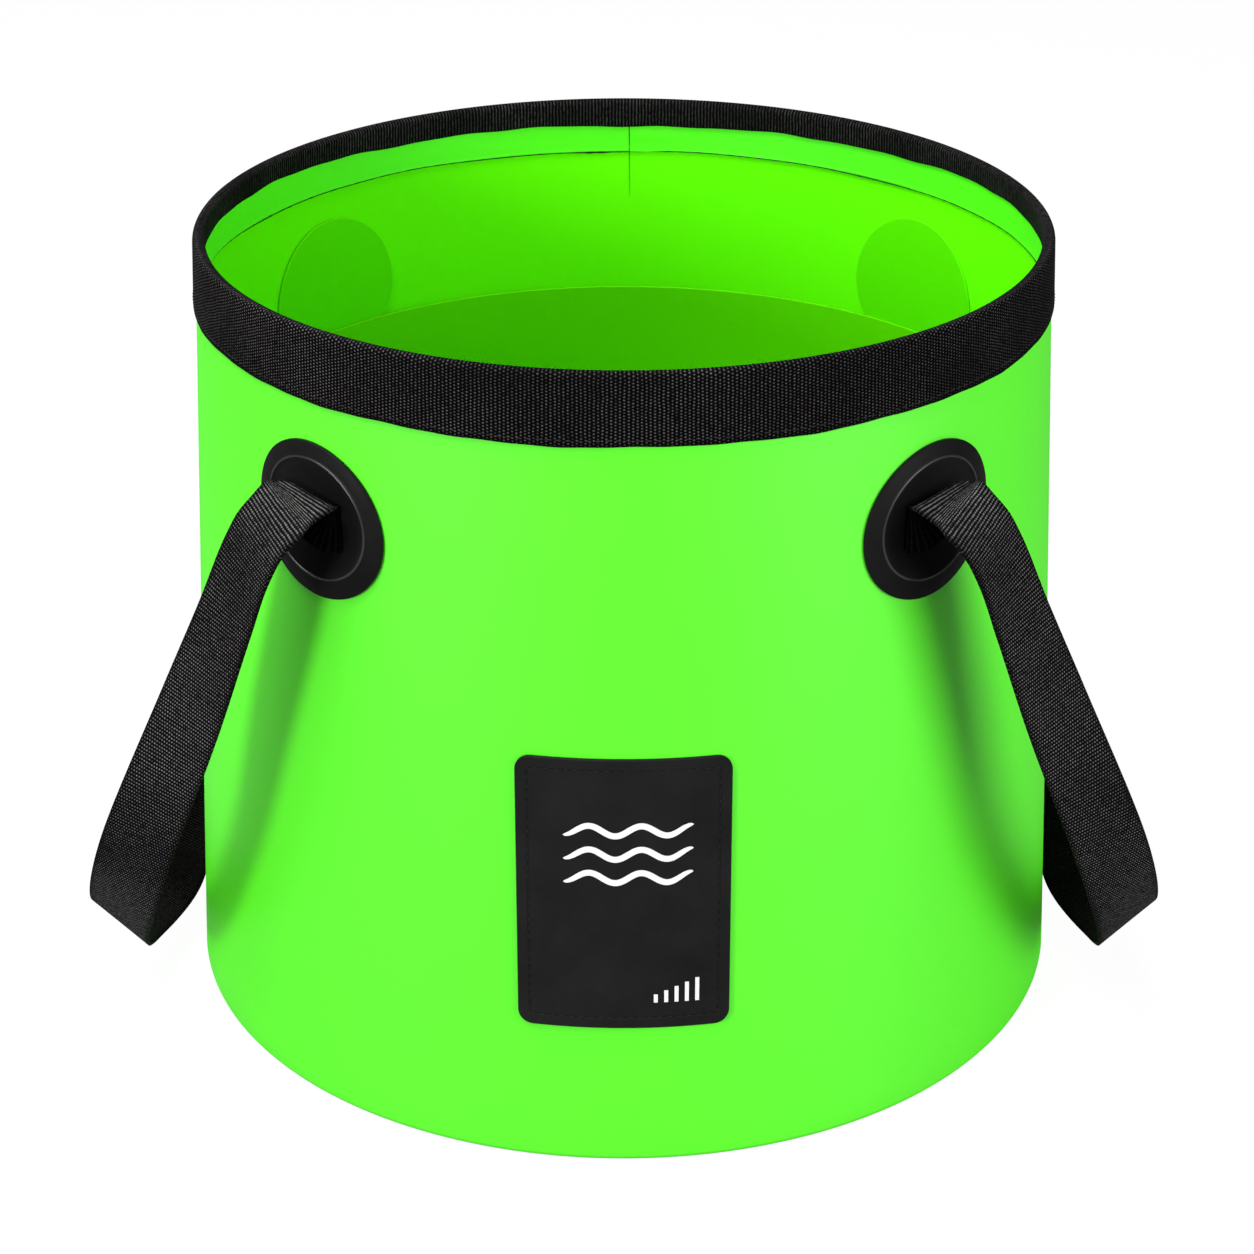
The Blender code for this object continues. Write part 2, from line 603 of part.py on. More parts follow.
def build_bucket():
    clear_scene()
    bucket = new_collection("collapsible_camp_bucket")
    cutters = new_collection("bucket_cutters")
    wall_finish = material("wall_tarpaulin", TARPAULIN_GREEN, TARPAULIN_ROUGHNESS)
    panel_finish = material("base_tarpaulin", TARPAULIN_GREEN, TARPAULIN_ROUGHNESS)
    liner_finish = material("liner_tarpaulin", LINER_GREEN, TARPAULIN_ROUGHNESS)
    patch_finish = material("patch_tarpaulin", PATCH_GREEN, TARPAULIN_ROUGHNESS)
    binding_finish = material("rim_webbing", WEBBING_BLACK, BINDING_ROUGHNESS)
    handle_finish = material("handle_webbing", WEBBING_BLACK, HANDLE_ROUGHNESS)
    pad_finish = material("pad_rubber", PAD_BLACK, PAD_ROUGHNESS)
    label_finish = material("label_rubber", LABEL_BLACK, LABEL_ROUGHNESS)
    strip_finish = material("stiffener_plastic", STRIP_WHITE, STRIP_ROUGHNESS)

    build_body_wall(bucket, wall_finish)
    build_base_panel(bucket, panel_finish)
    build_inner_liner(bucket, liner_finish)
    build_label_patch(bucket, label_finish)
    rim_pieces = [build_rim_stiffener(bucket, strip_finish), build_rim_binding(bucket, binding_finish)]

    hinge_middle = hinge_line_middle()
    half_gap = HANDLE_OUT * CLEARANCE / 2
    behind_hinge = (hinge_middle - half_gap, HANDLE_OUT)
    beyond_hinge = (hinge_middle + half_gap, -HANDLE_OUT)
    ends = {
        "front": (FRONT_PAD_AZIMUTH, -1, (hinge_middle, HANDLE_ALONG)),
        "back": (BACK_PAD_AZIMUTH, 1, (hinge_middle, -HANDLE_ALONG)),
    }
    webbing = build_webbing("handle_webbing", cutters)
    rim_joint = add_joint("collapse_slide", (0.0, 0.0, HEIGHT), bucket)
    for side_name, side in SIDES.items():
        for end_name, (azimuth, inward, away_end) in ends.items():
            name = end_name + "_" + side_name
            slot_place = inward * side * SLOT_OFFSET
            pad = build_pad(name + "_pad", side * azimuth, slot_place, bucket, cutters, pad_finish)
            patch = build_patch(name + "_patch", side * azimuth, bucket, patch_finish)
            tab = webbing_part(name + "_tab", webbing, [behind_hinge, away_end],
                               side, bucket, handle_finish)
            rim_pieces += [pad, patch, tab]
        loop = webbing_part(side_name + "_handle", webbing, [beyond_hinge],
                            side, bucket, handle_finish)
        hinge_place = (-side * hinge_middle.x, hinge_middle.y, hinge_middle.z)
        hinge = add_joint(side_name + "_handle_hinge", hinge_place, bucket)
        bpy.context.view_layer.update()
        attach(loop, hinge)
        attach(hinge, rim_joint)
    for piece in rim_pieces:
        attach(piece, rim_joint)


build_bucket()
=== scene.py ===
# Looks of the collapsible camp bucket: tarpaulin body, webbing rim, moulded pads, webbing handles
# and a front label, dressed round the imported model. Metres, +Z up, the front faces -Y.

import math

import bmesh
import bpy
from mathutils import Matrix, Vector
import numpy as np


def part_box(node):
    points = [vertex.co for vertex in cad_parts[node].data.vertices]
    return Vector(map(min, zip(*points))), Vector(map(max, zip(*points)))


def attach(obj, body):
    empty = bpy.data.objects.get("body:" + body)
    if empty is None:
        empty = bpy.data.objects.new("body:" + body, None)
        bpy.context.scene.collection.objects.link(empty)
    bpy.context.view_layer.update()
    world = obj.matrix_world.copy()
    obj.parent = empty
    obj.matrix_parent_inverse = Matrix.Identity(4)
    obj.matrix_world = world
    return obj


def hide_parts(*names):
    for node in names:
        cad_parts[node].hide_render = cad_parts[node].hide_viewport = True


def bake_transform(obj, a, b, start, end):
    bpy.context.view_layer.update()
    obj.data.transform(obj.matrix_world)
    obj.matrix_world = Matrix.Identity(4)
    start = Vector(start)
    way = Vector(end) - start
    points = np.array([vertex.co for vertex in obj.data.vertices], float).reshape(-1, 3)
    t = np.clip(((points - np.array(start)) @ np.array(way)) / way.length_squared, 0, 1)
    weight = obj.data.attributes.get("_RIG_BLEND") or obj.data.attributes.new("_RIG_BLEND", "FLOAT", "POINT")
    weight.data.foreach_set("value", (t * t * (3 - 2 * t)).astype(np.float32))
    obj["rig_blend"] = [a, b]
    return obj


bl_info = {
    "name": "Collapsible Camp Bucket",
    "version": (1, 0, 0),
    "blender": (4, 5, 0),
    "location": "3D View > Sidebar > Camp Bucket",
    "description": "Builds a folding tarpaulin bucket with its webbing, pads, label and stage",
    "category": "Object",
}

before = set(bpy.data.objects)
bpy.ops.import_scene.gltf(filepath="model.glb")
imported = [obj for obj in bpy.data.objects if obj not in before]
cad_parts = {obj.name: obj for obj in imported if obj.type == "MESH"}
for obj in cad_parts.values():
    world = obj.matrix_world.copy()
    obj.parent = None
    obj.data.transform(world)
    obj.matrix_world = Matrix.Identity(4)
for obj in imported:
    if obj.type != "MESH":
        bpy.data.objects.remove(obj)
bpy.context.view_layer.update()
WALL_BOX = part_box("body_wall")
BINDING_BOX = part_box("rim_binding")
LABEL_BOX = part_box("label_patch")
SIDES = {"left": -1, "right": 1}

# Layers at the mouth and at the foot
CLEARANCE = 0.0003
MOUTH_RADIUS = 0.1467
WALL_THICKNESS = 0.0005
FLANGE_WIDTH = 0.010
FOOT_BEND_RADIUS = 0.0022
BEND_STEPS = 6
STIFFENER_THICKNESS = 0.0005
STIFFENER_HEIGHT = 0.012
HEM_DEPTH = 0.0210
HEM_SEAM_HEIGHT = 0.0025
HEM_TAPER_HEIGHT = 0.0045
FOLD_ROUND_SHARE = 0.98
BODY_STEPS = 288
ROW_STEP = 0.007
EDGE_ROW = 0.0004
PANEL_THICKNESS = 0.0006
PANEL_LIP_HEIGHT = 0.012
LINER_THICKNESS = 0.0005
LINER_INSET = 0.0021
LINER_TOP = 0.2026
SEAM_AZIMUTH = math.radians(179.2)
SEAM_WIDTH = 0.016
SEAM_THICKNESS = 0.00025
SEAM_LINE_WIDTH = 0.00028
SEAM_CLEAR_HEIGHT = 0.262
SEAM_FADED_HEIGHT = 0.240

# Line of painted shade along the hem's edge, standing for the shadow in the gap under it and wider near the
# seam where the hem gapes, and the rise at the sides of the rim webbing's inner edge
HEM_LINE_HALF = 0.0002
HEM_LINE_DEPTH = 0.00012
GAPE_AZIMUTH = math.radians(-175.0)
GAPE_SPREAD = math.radians(2.2)
GAPE_HALF = 0.0004
INNER_RISE = 0.0023

# Weld of the bottom to the foot flange
WELD_FOOT_HALF = 0.0022
WELD_TOP_HALF = 0.0018
WELD_RISE = 0.00012

# Stitches: pitches are counted in stitch lengths
RIM_STITCH_LIFT = 0.0022
RIM_STITCH_WANDER = 0.00018
RIM_STITCH_PITCH = 1.28
LABEL_STITCH_PITCH = 1.35

# Pitch of the rim webbing's ribs, and where its edge and its fold count as dark or calm
RIM_RIB_PITCH = 0.00131
RIM_EDGE_REACH = 0.0021
RIM_FOLD_REACH = 0.001

# Round patches behind the pads, and the pads
PATCH_RADIUS = 0.0305
PATCH_THICKNESS = 0.0006
PATCH_LIFT = -0.0008
DISC_STEPS = 96
PAD_CENTRE_HEIGHT = 0.2171
FRONT_PAD_AZIMUTH = math.radians(41.4)
BACK_PAD_AZIMUTH = math.radians(130.8)
PAD_EDGE_THICKNESS = 0.0013
PAD_EDGE_ROUND = 0.0005
RIDGE_RADIUS = 0.0206
RIDGE_WIDTH = 0.0009
RIDGE_RISE = 0.0004
FLANGE_INNER_THICKNESS = 0.0024
DISH_FLOOR_THICKNESS = 0.0009
DISH_HOLLOW_POWER = 1.3
SLOT_OFFSET = 0.0105
SLOT_LIFT = 0.0014
SLOT_WIDTH = 0.0022
SLOT_HEIGHT = 0.0158

# How the soft pads are drawn out of round on the wall, towards the front slots and slanting
PAD_WIDENING = 1.03
PAD_HEIGHTENING = 0.97
PAD_SHIFT = 0.0013
PAD_SLANT = 0.09
RIDGE_SHIFT = (0.0006, 0.0012)

# Handle webbing: gathered where it comes out of the slot, full width past the bend
STRAP_WIDTH = 0.0252
STRAP_ROOT_WIDTH = 0.0152
STRAP_SLOT_LIFT = 0.0014
STRAP_EXIT_LIFT = 0.0024
STRAP_REACH = 0.075
STRAP_GROUND_GAP = 0.014
STRAP_COLUMNS = 12
STRAP_STEP = 0.0015

# Where the webbing is calm, and where painted shade darkens it near its ends in the dish round the slots:
# distances from its ends over which that starts and fades, and the lowest part of the loop as shares of the
# length
CALM_REACH = 0.050
CALM_FADE = 0.030
END_SHADE_REACH = 0.025
END_SHADE_FADE = 0.011
LOW_MIDDLE = 0.45
LOW_SPREAD = 0.14

# Route of the left handle from the front slot over its bend, down round the bottom of the loop
# and up to the back slot. The first three values are shares of half the distance between the
# slots (front to back), of the reach (outwards from the flare of the wall) and of the drop
# (upwards from the slots). The last three are the direction across the webbing in the same axes.
BEND_SHARES = [
    (-1.016, 0.037, 0.003, -0.08, -0.36, 0.93),
    (-1.002, 0.079, 0.015, -0.35, -0.70, 0.63),
    (-0.989, 0.090, 0.033, -0.63, -0.75, 0.19),
    (-0.986, 0.093, 0.049, -0.71, -0.69, -0.14),
    (-0.990, 0.125, 0.052, -0.67, -0.72, -0.19),
    (-0.981, 0.181, 0.044, -0.75, -0.60, -0.27),
    (-1.048, 0.224, 0.044, -0.79, -0.49, -0.37),
    (-1.060, 0.268, 0.029, -0.81, -0.45, -0.37),
    (-1.060, 0.320, 0.003, -0.79, -0.48, -0.38),
]
LOOP_SHARES = [
    (-1.046, 0.363, -0.032, -0.78, -0.50, -0.38),
    (-1.030, 0.469, -0.145, -0.74, -0.62, -0.22),
    (-1.000, 0.617, -0.306, -0.59, -0.75, -0.31),
    (-0.917, 0.895, -0.603, -0.21, -0.89, -0.40),
    (-0.643, 1.011, -0.821, -0.26, -0.77, -0.59),
    (-0.330, 0.990, -0.922, -0.28, -0.74, -0.61),
    (0.046, 0.835, -0.946, -0.02, -0.82, -0.57),
    (0.395, 0.780, -0.869, 0.12, -0.85, -0.52),
    (0.674, 0.659, -0.710, 0.17, -0.88, -0.44),
    (0.911, 0.507, -0.469, 0.24, -0.92, -0.30),
    (1.026, 0.412, -0.223, 0.51, -0.83, -0.23),
]
GATHERED_SHARES = (0.04, 0.11, 0.18, 0.33, 0.63, 0.88, 1.0, 1.0, 1.0)

# Where the wall begins and ends giving way as the rim comes down
FOLD_START_HEIGHT = 0.002
FOLD_END_HEIGHT = 0.178

# Where the webbing begins and ends turning as a handle swings, outwards from the slots
SWING_START = 0.009
SWING_END = 0.019

# The photograph's viewpoint
CAMERA_PLACE = (0.0011, -0.9901, 0.6084)
CAMERA_TILT = math.radians(63.887)
CAMERA_LENS = 85.97


def linear(red, green, blue):
    # A colour counted in steps of 0 to 255, as light
    def channel(step):
        share = step / 255
        return share / 12.92 if share <= 0.04045 else ((share + 0.055) / 1.055) ** 2.4
    return tuple(channel(step) for step in (red, green, blue))


def size(name, description, default, **limits):
    return bpy.props.FloatProperty(name=name, description=description, default=default,
                                   unit="LENGTH", precision=4, **limits)


def colour(name, description, default):
    return bpy.props.FloatVectorProperty(name=name, description=description, default=default,
                                         subtype="COLOR", size=3, min=0.0, max=1.0)


class CampBucketSizes(bpy.types.PropertyGroup):
    """Sizes of the bucket's pieces"""

    height: size("Height", "Height of the open bucket", BINDING_BOX[1].z)
    base_radius: size("Base radius", "Outer radius at the ground", WALL_BOX[1].x)
    binding_outer: size("Binding outside", "How far the rim webbing comes down outside", 0.024)
    binding_inner: size("Binding inside", "How far the rim webbing comes down inside", 0.0105)
    binding_thickness: size("Binding thickness", "Thickness of the rim webbing", 0.0008)
    pad_radius: size("Pad radius", "Radius of the moulded pads", 0.0268)
    strap_thickness: size("Handle thickness", "Thickness of the handle webbing", 0.0014)
    stitch_length: size("Stitch length", "Length of one stitch", 0.0024)
    thread_radius: size("Thread radius", "Half the thickness of the thread", 0.00022)
    rib_pitch: size("Handle rib pitch", "Distance between the ribs of the handle webbing", 0.00125)
    label_width: size("Label width", "Width of the front label", 0.070)
    label_height: size("Label height", "Height of the front label", 0.0985)
    label_corner: size("Label corner", "Corner radius of the front label", 0.005)
    label_thickness: size("Label thickness", "Thickness of the front label", 0.0012)


class CampBucketColours(bpy.types.PropertyGroup):
    """Colours of the bucket's finishes"""

    outside: colour("Outside", "Tarpaulin outside", (0.096, 0.960, 0.004))
    inside: colour("Inside", "Tarpaulin inside the mouth", (0.132, 0.930, 0.002))
    liner: colour("Lining", "Second layer of tarpaulin inside", (0.107, 0.640, 0.0004))
    patch: colour("Patches", "Round patches inside", (0.095, 0.730, 0.001))
    # The webbing colours lean a little towards magenta to offset the green light bounced onto them; the
    # handles' inner side has a much darker copy as painted shade
    webbing: colour("Webbing", "Handle webbing", (0.185, 0.178, 0.183))
    webbing_shaded_side: colour("Webbing inside", "Inner side of the handles", (0.026, 0.016, 0.025))
    rim: colour("Rim", "Rim webbing", (0.120, 0.112, 0.117))
    pad: colour("Pads", "Moulded pads", (0.0078, 0.0076, 0.0080))
    label: colour("Label", "Front label", (0.0115, 0.0115, 0.0116))
    marks: colour("Marks", "Printed marks on the label", linear(240, 240, 240))
    # Painted shade: the dark green of the shadow in the gaps along the hem's edge and the seam
    gap_shadow: colour("Thread", "Dark line of painted shade", (0.004, 0.030, 0.002))
    strip: colour("Strip", "Plastic strip inside the hem", linear(218, 218, 214))
    floor: colour("Floor", "Studio floor", linear(150, 150, 150))


# Nodes of the materials

def new_finish(name):
    finish = bpy.data.materials.new(name)
    finish.use_nodes = True
    return finish, finish.node_tree, finish.node_tree.nodes["Principled BSDF"]


def add_node(tree, kind, inputs=(), **settings):
    node = tree.nodes.new(kind)
    for setting, value in settings.items():
        setattr(node, setting, value)
    for socket, value in dict(inputs).items():
        if isinstance(value, bpy.types.NodeSocket):
            tree.links.new(value, node.inputs[socket])
        else:
            node.inputs[socket].default_value = value
    return node


def work_out(tree, operation, first, second=0.0):
    return add_node(tree, "ShaderNodeMath", {0: first, 1: second}, operation=operation).outputs[0]


def times(tree, first, second):
    return work_out(tree, "MULTIPLY", first, second)


def plus(tree, first, second):
    return work_out(tree, "ADD", first, second)


def object_place(tree):
    return add_node(tree, "ShaderNodeTexCoord").outputs["Object"]


def attribute(tree, name):
    return add_node(tree, "ShaderNodeAttribute", attribute_name=name).outputs["Fac"]


def ranged(tree, value, low, high, from_low=0.0, from_high=1.0):
    inputs = {"Value": value, "From Min": from_low, "From Max": from_high,
              "To Min": low, "To Max": high}
    return add_node(tree, "ShaderNodeMapRange", inputs).outputs["Result"]


def cloud(tree, place, scale, detail=3.0, roughness=0.5):
    inputs = {"Vector": place, "Scale": scale, "Detail": detail, "Roughness": roughness}
    return add_node(tree, "ShaderNodeTexNoise", inputs).outputs["Fac"]


def shaded(tree, base, share, darkest, lightest):
    # The base colour made darker or lighter by a share from 0 to 1
    factor = ranged(tree, share, darkest, lightest)
    inputs = {"Color": (*base, 1.0), "Value": factor}
    return add_node(tree, "ShaderNodeHueSaturation", inputs).outputs["Color"]


def raised(tree, shader, height, distance, strength=1.0):
    inputs = {"Height": height, "Distance": distance, "Strength": strength}
    bump = add_node(tree, "ShaderNodeBump", inputs)
    tree.links.new(bump.outputs["Normal"], shader.inputs["Normal"])


def tarpaulin_finish(name, base, shine, threads_per_metre=900.0):
    # Coated cloth: a faint weave under a smooth skin, with soft uneven patches
    finish, tree, shader = new_finish(name)
    place = object_place(tree)
    spread = add_node(tree, "ShaderNodeUVMap", uv_map="Cloth").outputs["UV"]
    parts = add_node(tree, "ShaderNodeSeparateXYZ", {"Vector": spread})
    turns = math.tau * threads_per_metre
    warp = work_out(tree, "SINE", times(tree, parts.outputs["X"], turns))
    weft = work_out(tree, "SINE", times(tree, parts.outputs["Y"], turns))
    weave = times(tree, warp, weft)
    patches = cloud(tree, place, 14.0, 2.0)
    grain = cloud(tree, place, 420.0, 3.0, 0.6)
    skin = plus(tree, times(tree, weave, 0.25), grain)
    height = plus(tree, skin, times(tree, patches, 6.0))
    tree.links.new(shaded(tree, base, patches, 0.965, 1.03), shader.inputs["Base Color"])
    tree.links.new(ranged(tree, grain, 0.46, 0.60), shader.inputs["Roughness"])
    raised(tree, shader, height, 0.00004)
    shader.inputs["Specular IOR Level"].default_value = shine
    return finish


def webbing_finish(name, base, beads_per_metre, bead_depth):
    # Ribs run across the webbing; each rib is a row of small beads of yarn with black gaps, and
    # the beads of neighbouring ribs are staggered. U counts the ribs, V is the distance across.
    # The attribute calm marks the parts where only the ribs show, and a second attribute darkens parts:
    # painted shade on the rim webbing's right and back and near the handles' slots, besides darker edges and
    # the rim webbing's darker inner side.
    finish, tree, shader = new_finish(name)
    place = object_place(tree)
    spread = add_node(tree, "ShaderNodeUVMap", uv_map="Ribs").outputs["UV"]
    calm = attribute(tree, "calm")
    darkening = attribute(tree, "darkening")
    parts = add_node(tree, "ShaderNodeSeparateXYZ", {"Vector": spread})
    wander = cloud(tree, place, 260.0, 2.0)
    drift = cloud(tree, place, 110.0, 1.0)
    count = plus(tree, parts.outputs["X"], times(tree, wander, 0.5))
    rib_wave = work_out(tree, "SINE", times(tree, count, math.pi))
    rib = work_out(tree, "POWER", work_out(tree, "ABSOLUTE", rib_wave), 6.0)
    stagger = times(tree, work_out(tree, "FLOOR", count), math.pi)
    stagger = plus(tree, stagger, times(tree, drift, 5.0))
    across = times(tree, parts.outputs["Y"], math.tau * beads_per_metre)
    bead_wave = work_out(tree, "SINE", plus(tree, across, stagger))
    bead = ranged(tree, bead_wave, 1.0 - bead_depth, 1.0, -1.0, 1.0)
    bead = work_out(tree, "POWER", bead, 3.0)
    bead = times(tree, bead, work_out(tree, "SUBTRACT", 1.0, calm))
    bead = plus(tree, bead, times(tree, calm, 0.85))
    yarn = times(tree, rib, bead)
    fuzz = cloud(tree, place, 2600.0, 2.0)
    wear = cloud(tree, place, 700.0, 2.0)
    sweep = cloud(tree, place, 26.0, 2.0)
    height = plus(tree, yarn, times(tree, fuzz, 0.25))
    wear_and_shade = times(tree, ranged(tree, wear, 0.2, 2.0, 0.25, 0.75),
                    ranged(tree, sweep, 0.45, 1.5, 0.25, 0.75))
    # Painted shade: where the darkening is full, the yarn keeps only 6 % of its lightness
    wear_and_shade = times(tree, wear_and_shade, ranged(tree, darkening, 1.0, 0.06))
    light = times(tree, yarn, wear_and_shade)
    tree.links.new(shaded(tree, base, light, 0.012, 1.0), shader.inputs["Base Color"])
    tree.links.new(ranged(tree, fuzz, 0.70, 0.90), shader.inputs["Roughness"])
    raised(tree, shader, height, 0.00015)
    shader.inputs["Specular IOR Level"].default_value = 0.02
    return finish


def moulded_finish(name, base, roughness, grain_depth, specular, polished=False):
    # Moulded rubber with a fine even grain, a little polished by handling. On a polished piece the attribute
    # ridge marks glossy ridges, and a second attribute paints shade into the dish round the slot, darker and
    # less shiny towards the slot.
    finish, tree, shader = new_finish(name)
    place = object_place(tree)
    grain = cloud(tree, place, 1500.0, 2.0)
    light = cloud(tree, place, 55.0, 4.0)
    rough = ranged(tree, light, roughness - 0.07, roughness + 0.09)
    shader.inputs["Specular IOR Level"].default_value = specular
    if polished:
        ridge = attribute(tree, "ridge")
        dish_shade = attribute(tree, "dish_shade")
        # Painted shade: the dish loses colour and shine towards the slot
        open_share = work_out(tree, "SUBTRACT", 1.0, dish_shade)
        light = times(tree, light, open_share)
        rough = work_out(tree, "SUBTRACT", rough, times(tree, ridge, 0.12))
        grain = times(tree, grain, work_out(tree, "SUBTRACT", 1.0, ridge))
        shine = times(tree, open_share, specular)
        shine = plus(tree, shine, times(tree, ridge, 0.95))
        tree.links.new(shine, shader.inputs["Specular IOR Level"])
    tree.links.new(shaded(tree, base, light, 0.55, 1.45), shader.inputs["Base Color"])
    tree.links.new(rough, shader.inputs["Roughness"])
    raised(tree, shader, grain, grain_depth)
    return finish


def thread_finish(name, base):
    # Twisted thread: slanting plies and a soft fuzz. The same finish gives the dark lines of painted shade
    # along the hem and the seam.
    finish, tree, shader = new_finish(name)
    place = object_place(tree)
    ply = add_node(tree, "ShaderNodeTexWave", {"Vector": place, "Scale": 900.0, "Distortion": 2.0},
                   bands_direction="DIAGONAL").outputs["Fac"]
    tree.links.new(shaded(tree, base, ply, 0.6, 1.4), shader.inputs["Base Color"])
    tree.links.new(ranged(tree, ply, 0.55, 0.8), shader.inputs["Roughness"])
    raised(tree, shader, ply, 0.00008)
    shader.inputs["Specular IOR Level"].default_value = 0.3
    return finish


def ink_finish(name, base):
    # Screen printing ink: nearly even, thinner in small flecks
    finish, tree, shader = new_finish(name)
    place = object_place(tree)
    flecks = cloud(tree, place, 900.0, 3.0)
    tree.links.new(shaded(tree, base, flecks, 0.93, 1.0), shader.inputs["Base Color"])
    tree.links.new(ranged(tree, flecks, 0.42, 0.6), shader.inputs["Roughness"])
    raised(tree, shader, flecks, 0.00002)
    return finish


# What makes each finish, its name, the colour it takes and its settings
FINISHES = {
    "outside": (tarpaulin_finish, "tarpaulin_outside", "outside", 0.78),
    "inside": (tarpaulin_finish, "tarpaulin_inside", "inside", 0.05),
    "liner": (tarpaulin_finish, "tarpaulin_lining", "liner", 0.03),
    "patch": (tarpaulin_finish, "tarpaulin_patches", "patch", 0.03),
    "binding": (webbing_finish, "rim_finish", "rim", 960.0, 0.95),
    "handle": (webbing_finish, "handle_finish", "webbing", 1000.0, 0.80),
    "handle_shaded_side": (webbing_finish, "handle_shade_finish", "webbing_shaded_side", 1000.0, 0.80),
    "pad": (moulded_finish, "pad_finish", "pad", 0.42, 0.00002, 0.04, True),
    "label": (moulded_finish, "label_finish", "label", 0.55, 0.00003, 0.05),
    "strip": (moulded_finish, "strip_finish", "strip", 0.45, 0.00002, 0.5),
    # Painted shade in the gaps along the hem and the seam, with the look of thread
    "gap_shadow": (thread_finish, "dark_line_finish", "gap_shadow"),
    "black_thread": (thread_finish, "black_thread", "pad"),
    "ink": (ink_finish, "label_ink", "marks"),
}


def finish_named(key):
    # The finishes are made together, for the first piece that needs one
    if FINISHES[key][1] not in bpy.data.materials:
        colours = bpy.context.scene.camp_bucket_colours
        for make, name, colour_name, *settings in FINISHES.values():
            make(name, getattr(colours, colour_name), *settings)
    return bpy.data.materials[FINISHES[key][1]]


# Shapes

def slope():
    sizes = bpy.context.scene.camp_bucket_sizes
    return math.atan2(sizes.base_radius - MOUTH_RADIUS, sizes.height)


def wall_radius(height):
    sizes = bpy.context.scene.camp_bucket_sizes
    return sizes.base_radius + (MOUTH_RADIUS - sizes.base_radius) * height / sizes.height


def rounded(points, radii, steps):
    # A polyline with each inner corner replaced by an arc of its own radius
    result = [Vector(points[0])]
    for before, corner, after, radius in zip(points, points[1:], points[2:], radii):
        corner = Vector(corner)
        towards_before = (Vector(before) - corner).normalized()
        towards_after = (Vector(after) - corner).normalized()
        half_angle = towards_before.angle(towards_after) / 2
        centre = corner + (towards_before + towards_after).normalized() * (
            radius / math.sin(half_angle))
        reach = radius / math.tan(half_angle)
        start = corner + towards_before * reach - centre
        sweep = start.angle_signed(corner + towards_after * reach - centre)
        for step in range(steps + 1):
            turn = -sweep * step / steps
            cosine, sine = math.cos(turn), math.sin(turn)
            result.append(centre + Vector((cosine * start.x - sine * start.y,
                                           sine * start.x + cosine * start.y)))
    result.append(Vector(points[-1]))
    return result


def spaced(points, step):
    # The same line with extra points, so that no stretch is longer than a step
    result = [Vector(points[0])]
    for before, after in zip(points, points[1:]):
        before, after = Vector(before), Vector(after)
        count = max(1, math.ceil((after - before).length / step))
        result += [before.lerp(after, index / count) for index in range(1, count + 1)]
    return result


def spun(points, steps):
    # A line turned once about Z. Each point keeps its distance along the line
    bm = bmesh.new()
    layer = bm.verts.layers.float.new("along")
    travelled = 0.0
    verts = []
    for index, (radius, height) in enumerate(points):
        if index:
            travelled += (Vector(points[index]) - Vector(points[index - 1])).length
        vertex = bm.verts.new((radius, 0.0, height))
        vertex[layer] = travelled
        verts.append(vertex)
    edges = [bm.edges.new(pair) for pair in zip(verts, verts[1:])]
    bmesh.ops.spin(bm, geom=verts + edges, cent=(0, 0, 0), axis=(0, 0, 1), angle=math.tau,
                   steps=steps, use_merge=True)
    bmesh.ops.remove_doubles(bm, verts=bm.verts[:], dist=0.00001)
    return bm


def azimuth_of(place):
    return math.atan2(place.x, -place.y)


def spread_round(bm, map_name, units_per_turn):
    # U counts round the bucket, V is the distance along the turned line
    spread = bm.loops.layers.uv.new(map_name)
    layer = bm.verts.layers.float["along"]
    for face in bm.faces:
        middle = azimuth_of(face.calc_center_median())
        for loop in face.loops:
            angle = azimuth_of(loop.vert.co)
            turn = angle - middle
            turn -= math.tau * round(turn / math.tau)
            loop[spread].uv = ((middle + turn) / math.tau * units_per_turn, loop.vert[layer])


def spread_on_wall(bm, map_name, azimuth=0.0):
    # U is the distance round the wall and V the height, both in metres
    spread = bm.loops.layers.uv.new(map_name)
    for face in bm.faces:
        for loop in face.loops:
            turn = azimuth_of(loop.vert.co) - azimuth
            turn -= math.tau * round(turn / math.tau)
            loop[spread].uv = (turn * MOUTH_RADIUS, loop.vert.co.z)


def wrap_on_wall(bm, azimuth, height, lift):
    # X runs round the wall, Y up it and Z out of it
    lean = slope()
    for vertex in bm.verts:
        across, along, out = vertex.co
        foot_height = height + along * math.cos(lean)
        foot_radius = wall_radius(foot_height)
        angle = azimuth + across / foot_radius
        radius = foot_radius + (out + lift) * math.cos(lean)
        vertex.co.x = math.sin(angle) * radius
        vertex.co.y = -math.cos(angle) * radius
        vertex.co.z = foot_height + (out + lift) * math.sin(lean)


def cut_grid(bm, half_width, half_height, step):
    # Cuts across a flat piece both ways, close enough together for it to bend and fold
    for axis, half in ((0, half_width), (1, half_height)):
        count = math.ceil(2 * half / step)
        normal = Vector((0, 0, 0))
        normal[axis] = 1.0
        for index in range(1, count):
            place = normal * (half * (2 * index / count - 1))
            geometry = bm.verts[:] + bm.edges[:] + bm.faces[:]
            bmesh.ops.bisect_plane(bm, geom=geometry, plane_co=place, plane_no=normal)


def facing_out(bm):
    bmesh.ops.recalc_face_normals(bm, faces=bm.faces[:])


def finished(bm, name, finish_keys, sharp=40.0):
    mesh = bpy.data.meshes.new(name)
    bm.to_mesh(mesh)
    bm.free()
    for key in finish_keys:
        mesh.materials.append(finish_named(key))
    mesh.shade_smooth()
    mesh.set_sharp_from_angle(angle=math.radians(sharp))
    piece = bpy.data.objects.new(name, mesh)
    bpy.context.scene.collection.objects.link(piece)
    return piece


